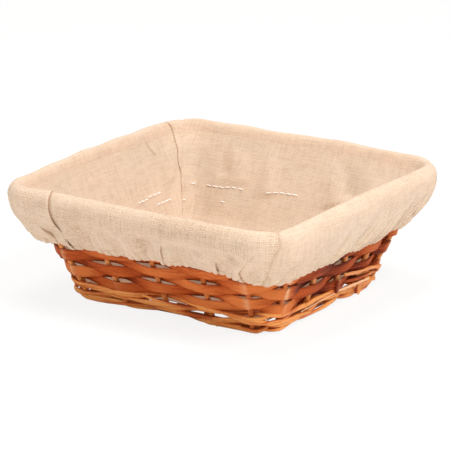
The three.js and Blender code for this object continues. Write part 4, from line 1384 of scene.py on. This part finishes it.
# White running stitches on the liner's sides: face and path, as (along, height) in millimetres.
RUNNING_STITCHES = [
    (2, [(94, 51), (84, 51.4)]),
    (2, [(80, 51.6), (44, 53.2)]),
    (2, [(22, 54.2), (-8, 55.6)]),
    (2, [(100, 39.4), (92, 40.2)]),
    (2, [(63, 41.5), (58, 41.7)]),
    (2, [(-34, 45.4), (-46, 46)]),
    (3, [(-61, 49.6), (-26, 48.4)]),
    (3, [(-73, 42.4), (-51, 41.6)]),
    (3, [(-8, 47.6), (20, 46.8)]),
]
STITCH_LENGTH = 4.6 * MM
STITCH_GAP = 0.7 * MM
STITCH_THICKNESS = 1.1 * MM


def nearest_point(panel, points, along, height):
    """The point of a side's cloth at a place on its face, and the way into the basket there."""
    gap = np.abs(panel.face_along(points[..., 2]) - along) + np.abs(points[..., 2] - height)
    row, column = np.unravel_index(gap.argmin(), gap.shape)
    return points[row, column], -panel.wall.out[column]


def make_stitches(panel, points, name):
    """One mesh of short threads lying on the cloth, or nothing where a side has none."""
    threads = []
    share = np.linspace(0, 1, 7)[:, None]
    lift = (0.1 + 0.25 * np.sin(math.pi * share)) * MM
    size = STITCH_THICKNESS * np.sin(math.pi * (0.12 + 0.76 * share[:, 0])) ** 0.5
    across = panel.wall.up[len(panel.length) // 2]
    for face, path in RUNNING_STITCHES:
        if face != panel.face:
            continue
        begin, end = np.array(path) * MM
        length = np.linalg.norm(end - begin)
        count = int(length // (STITCH_LENGTH + STITCH_GAP)) or 1
        for index in range(count):
            first = begin + (end - begin) * index / count
            last = first + (end - begin) / length * STITCH_LENGTH
            start, inward = nearest_point(panel, points, *first)
            stop = nearest_point(panel, points, *last)[0]
            centres = start + (stop - start) * share + inward * lift
            threads.append(swept("thread", centres, across, oval(size, size, 6)))
    if not threads:
        return None
    stitches = join_pieces(threads, f"stitches_{name}")
    dress(stitches, WHITE_THREAD, "liner", "liner_cloth")
    return stitches


ELASTIC_THICKNESS = 1 * MM
ELASTIC_ABOVE_HEM = 5 * MM
ELASTIC_OFFSET = HEM_INNER + 0.8 * MM


def make_elastic():
    position = weaver_positions(0, 10, 24)[:-1]
    wall = Wall(station_at(position))
    hem = hem_lift(rim_place(position)) - CUFF_DROP
    rise = wall.rise_to(RIM_HEIGHT) + hem + ELASTIC_ABOVE_HEM
    centres = wall.at(rise, ELASTIC_OFFSET)
    section = oval(ELASTIC_THICKNESS, ELASTIC_THICKNESS, 8)
    piece = swept("elastic_cord", centres, wall.up, section, loop=True)
    dress(piece, ELASTIC, "liner", "elastic", "hem_elastic")


# Share of the floor that the camera sees as plain white.
FLOOR_GLOW = 0.86
WHITE = (1, 1, 1, 1)
# Name, place, size, power and colour.
LAMPS = [
    ("key_light", (1.25, -0.28, 1.6), 0.8, 28.5, (1.0, 1.0, 1.0)),
    ("front_light", (-1.5, -1.5, 0.9), 0.7, 8, (1.0, 0.98, 0.96)),
    ("top_light", (-0.2, 0.1, 2.2), 1.0, 26, (1.0, 1.0, 0.99)),
]
LAMP_TARGET = Vector((0, 0, 0.05))


def make_stage():
    bpy.ops.mesh.primitive_plane_add(size=24)
    floor = bpy.context.object
    floor.name = "studio_floor"
    finish = Finish("studio_floor")
    finish.set(Base_Color=srgb(250, 249, 247), Roughness=0.9)
    seen = finish.node("LightPath").outputs["Is Camera Ray"]
    glow = finish.node("Emission", {"Color": WHITE, "Strength": 1.0})
    finish.show("Material Output", finish.math("MULTIPLY", seen, FLOOR_GLOW), finish.shader, glow)
    floor.data.materials.append(finish.material)

    world = bpy.data.worlds.new("studio")
    world.use_nodes = True
    bpy.context.scene.world = world
    sky = Nodes(world.node_tree)
    seen = sky.node("LightPath").outputs["Is Camera Ray"]
    light = sky.node("Background", {"Color": (1.0, 0.985, 0.96, 1), "Strength": 0.4})
    backdrop = sky.node("Background", {"Color": WHITE, "Strength": 1})
    sky.show("World Output", seen, light, backdrop)

    for name, place, size, power, color in LAMPS:
        lamp = bpy.data.lights.new(name, "AREA")
        lamp.size = size
        lamp.energy = power
        lamp.color = color
        holder = bpy.data.objects.new(name, lamp)
        holder.location = place
        toward = LAMP_TARGET - Vector(place)
        holder.rotation_euler = toward.to_track_quat("-Z", "Y").to_euler()
        bpy.context.scene.collection.objects.link(holder)


CAMERA_AZIMUTH = math.radians(33.16)
CAMERA_ELEVATION = math.radians(16.62)
CAMERA_DISTANCE = 2.845
CAMERA_RIGHT = 0.0005
CAMERA_RAISE = 0.0518
CAMERA_LENS = 287.5


def make_camera():
    back = Vector((
        math.sin(CAMERA_AZIMUTH) * math.cos(CAMERA_ELEVATION),
        -math.cos(CAMERA_AZIMUTH) * math.cos(CAMERA_ELEVATION),
        math.sin(CAMERA_ELEVATION)))
    right = Vector((math.cos(CAMERA_AZIMUTH), math.sin(CAMERA_AZIMUTH), 0))
    up = back.cross(right)
    data = bpy.data.cameras.new("photo_camera")
    data.lens = CAMERA_LENS
    data.clip_start = 0.1
    data.clip_end = 60
    camera = bpy.data.objects.new("photo_camera", data)
    place = back * CAMERA_DISTANCE + right * CAMERA_RIGHT + up * CAMERA_RAISE
    axes = Matrix((right, up, back)).transposed().to_4x4()
    camera.matrix_world = Matrix.Translation(place) @ axes
    bpy.context.scene.collection.objects.link(camera)
    bpy.context.scene.camera = camera


make_camera()
make_stakes()
make_chips()
make_rods()
make_rim()
make_base()
make_liner()
make_elastic()
make_stage()
bpy.context.scene.view_settings.view_transform = "Standard"
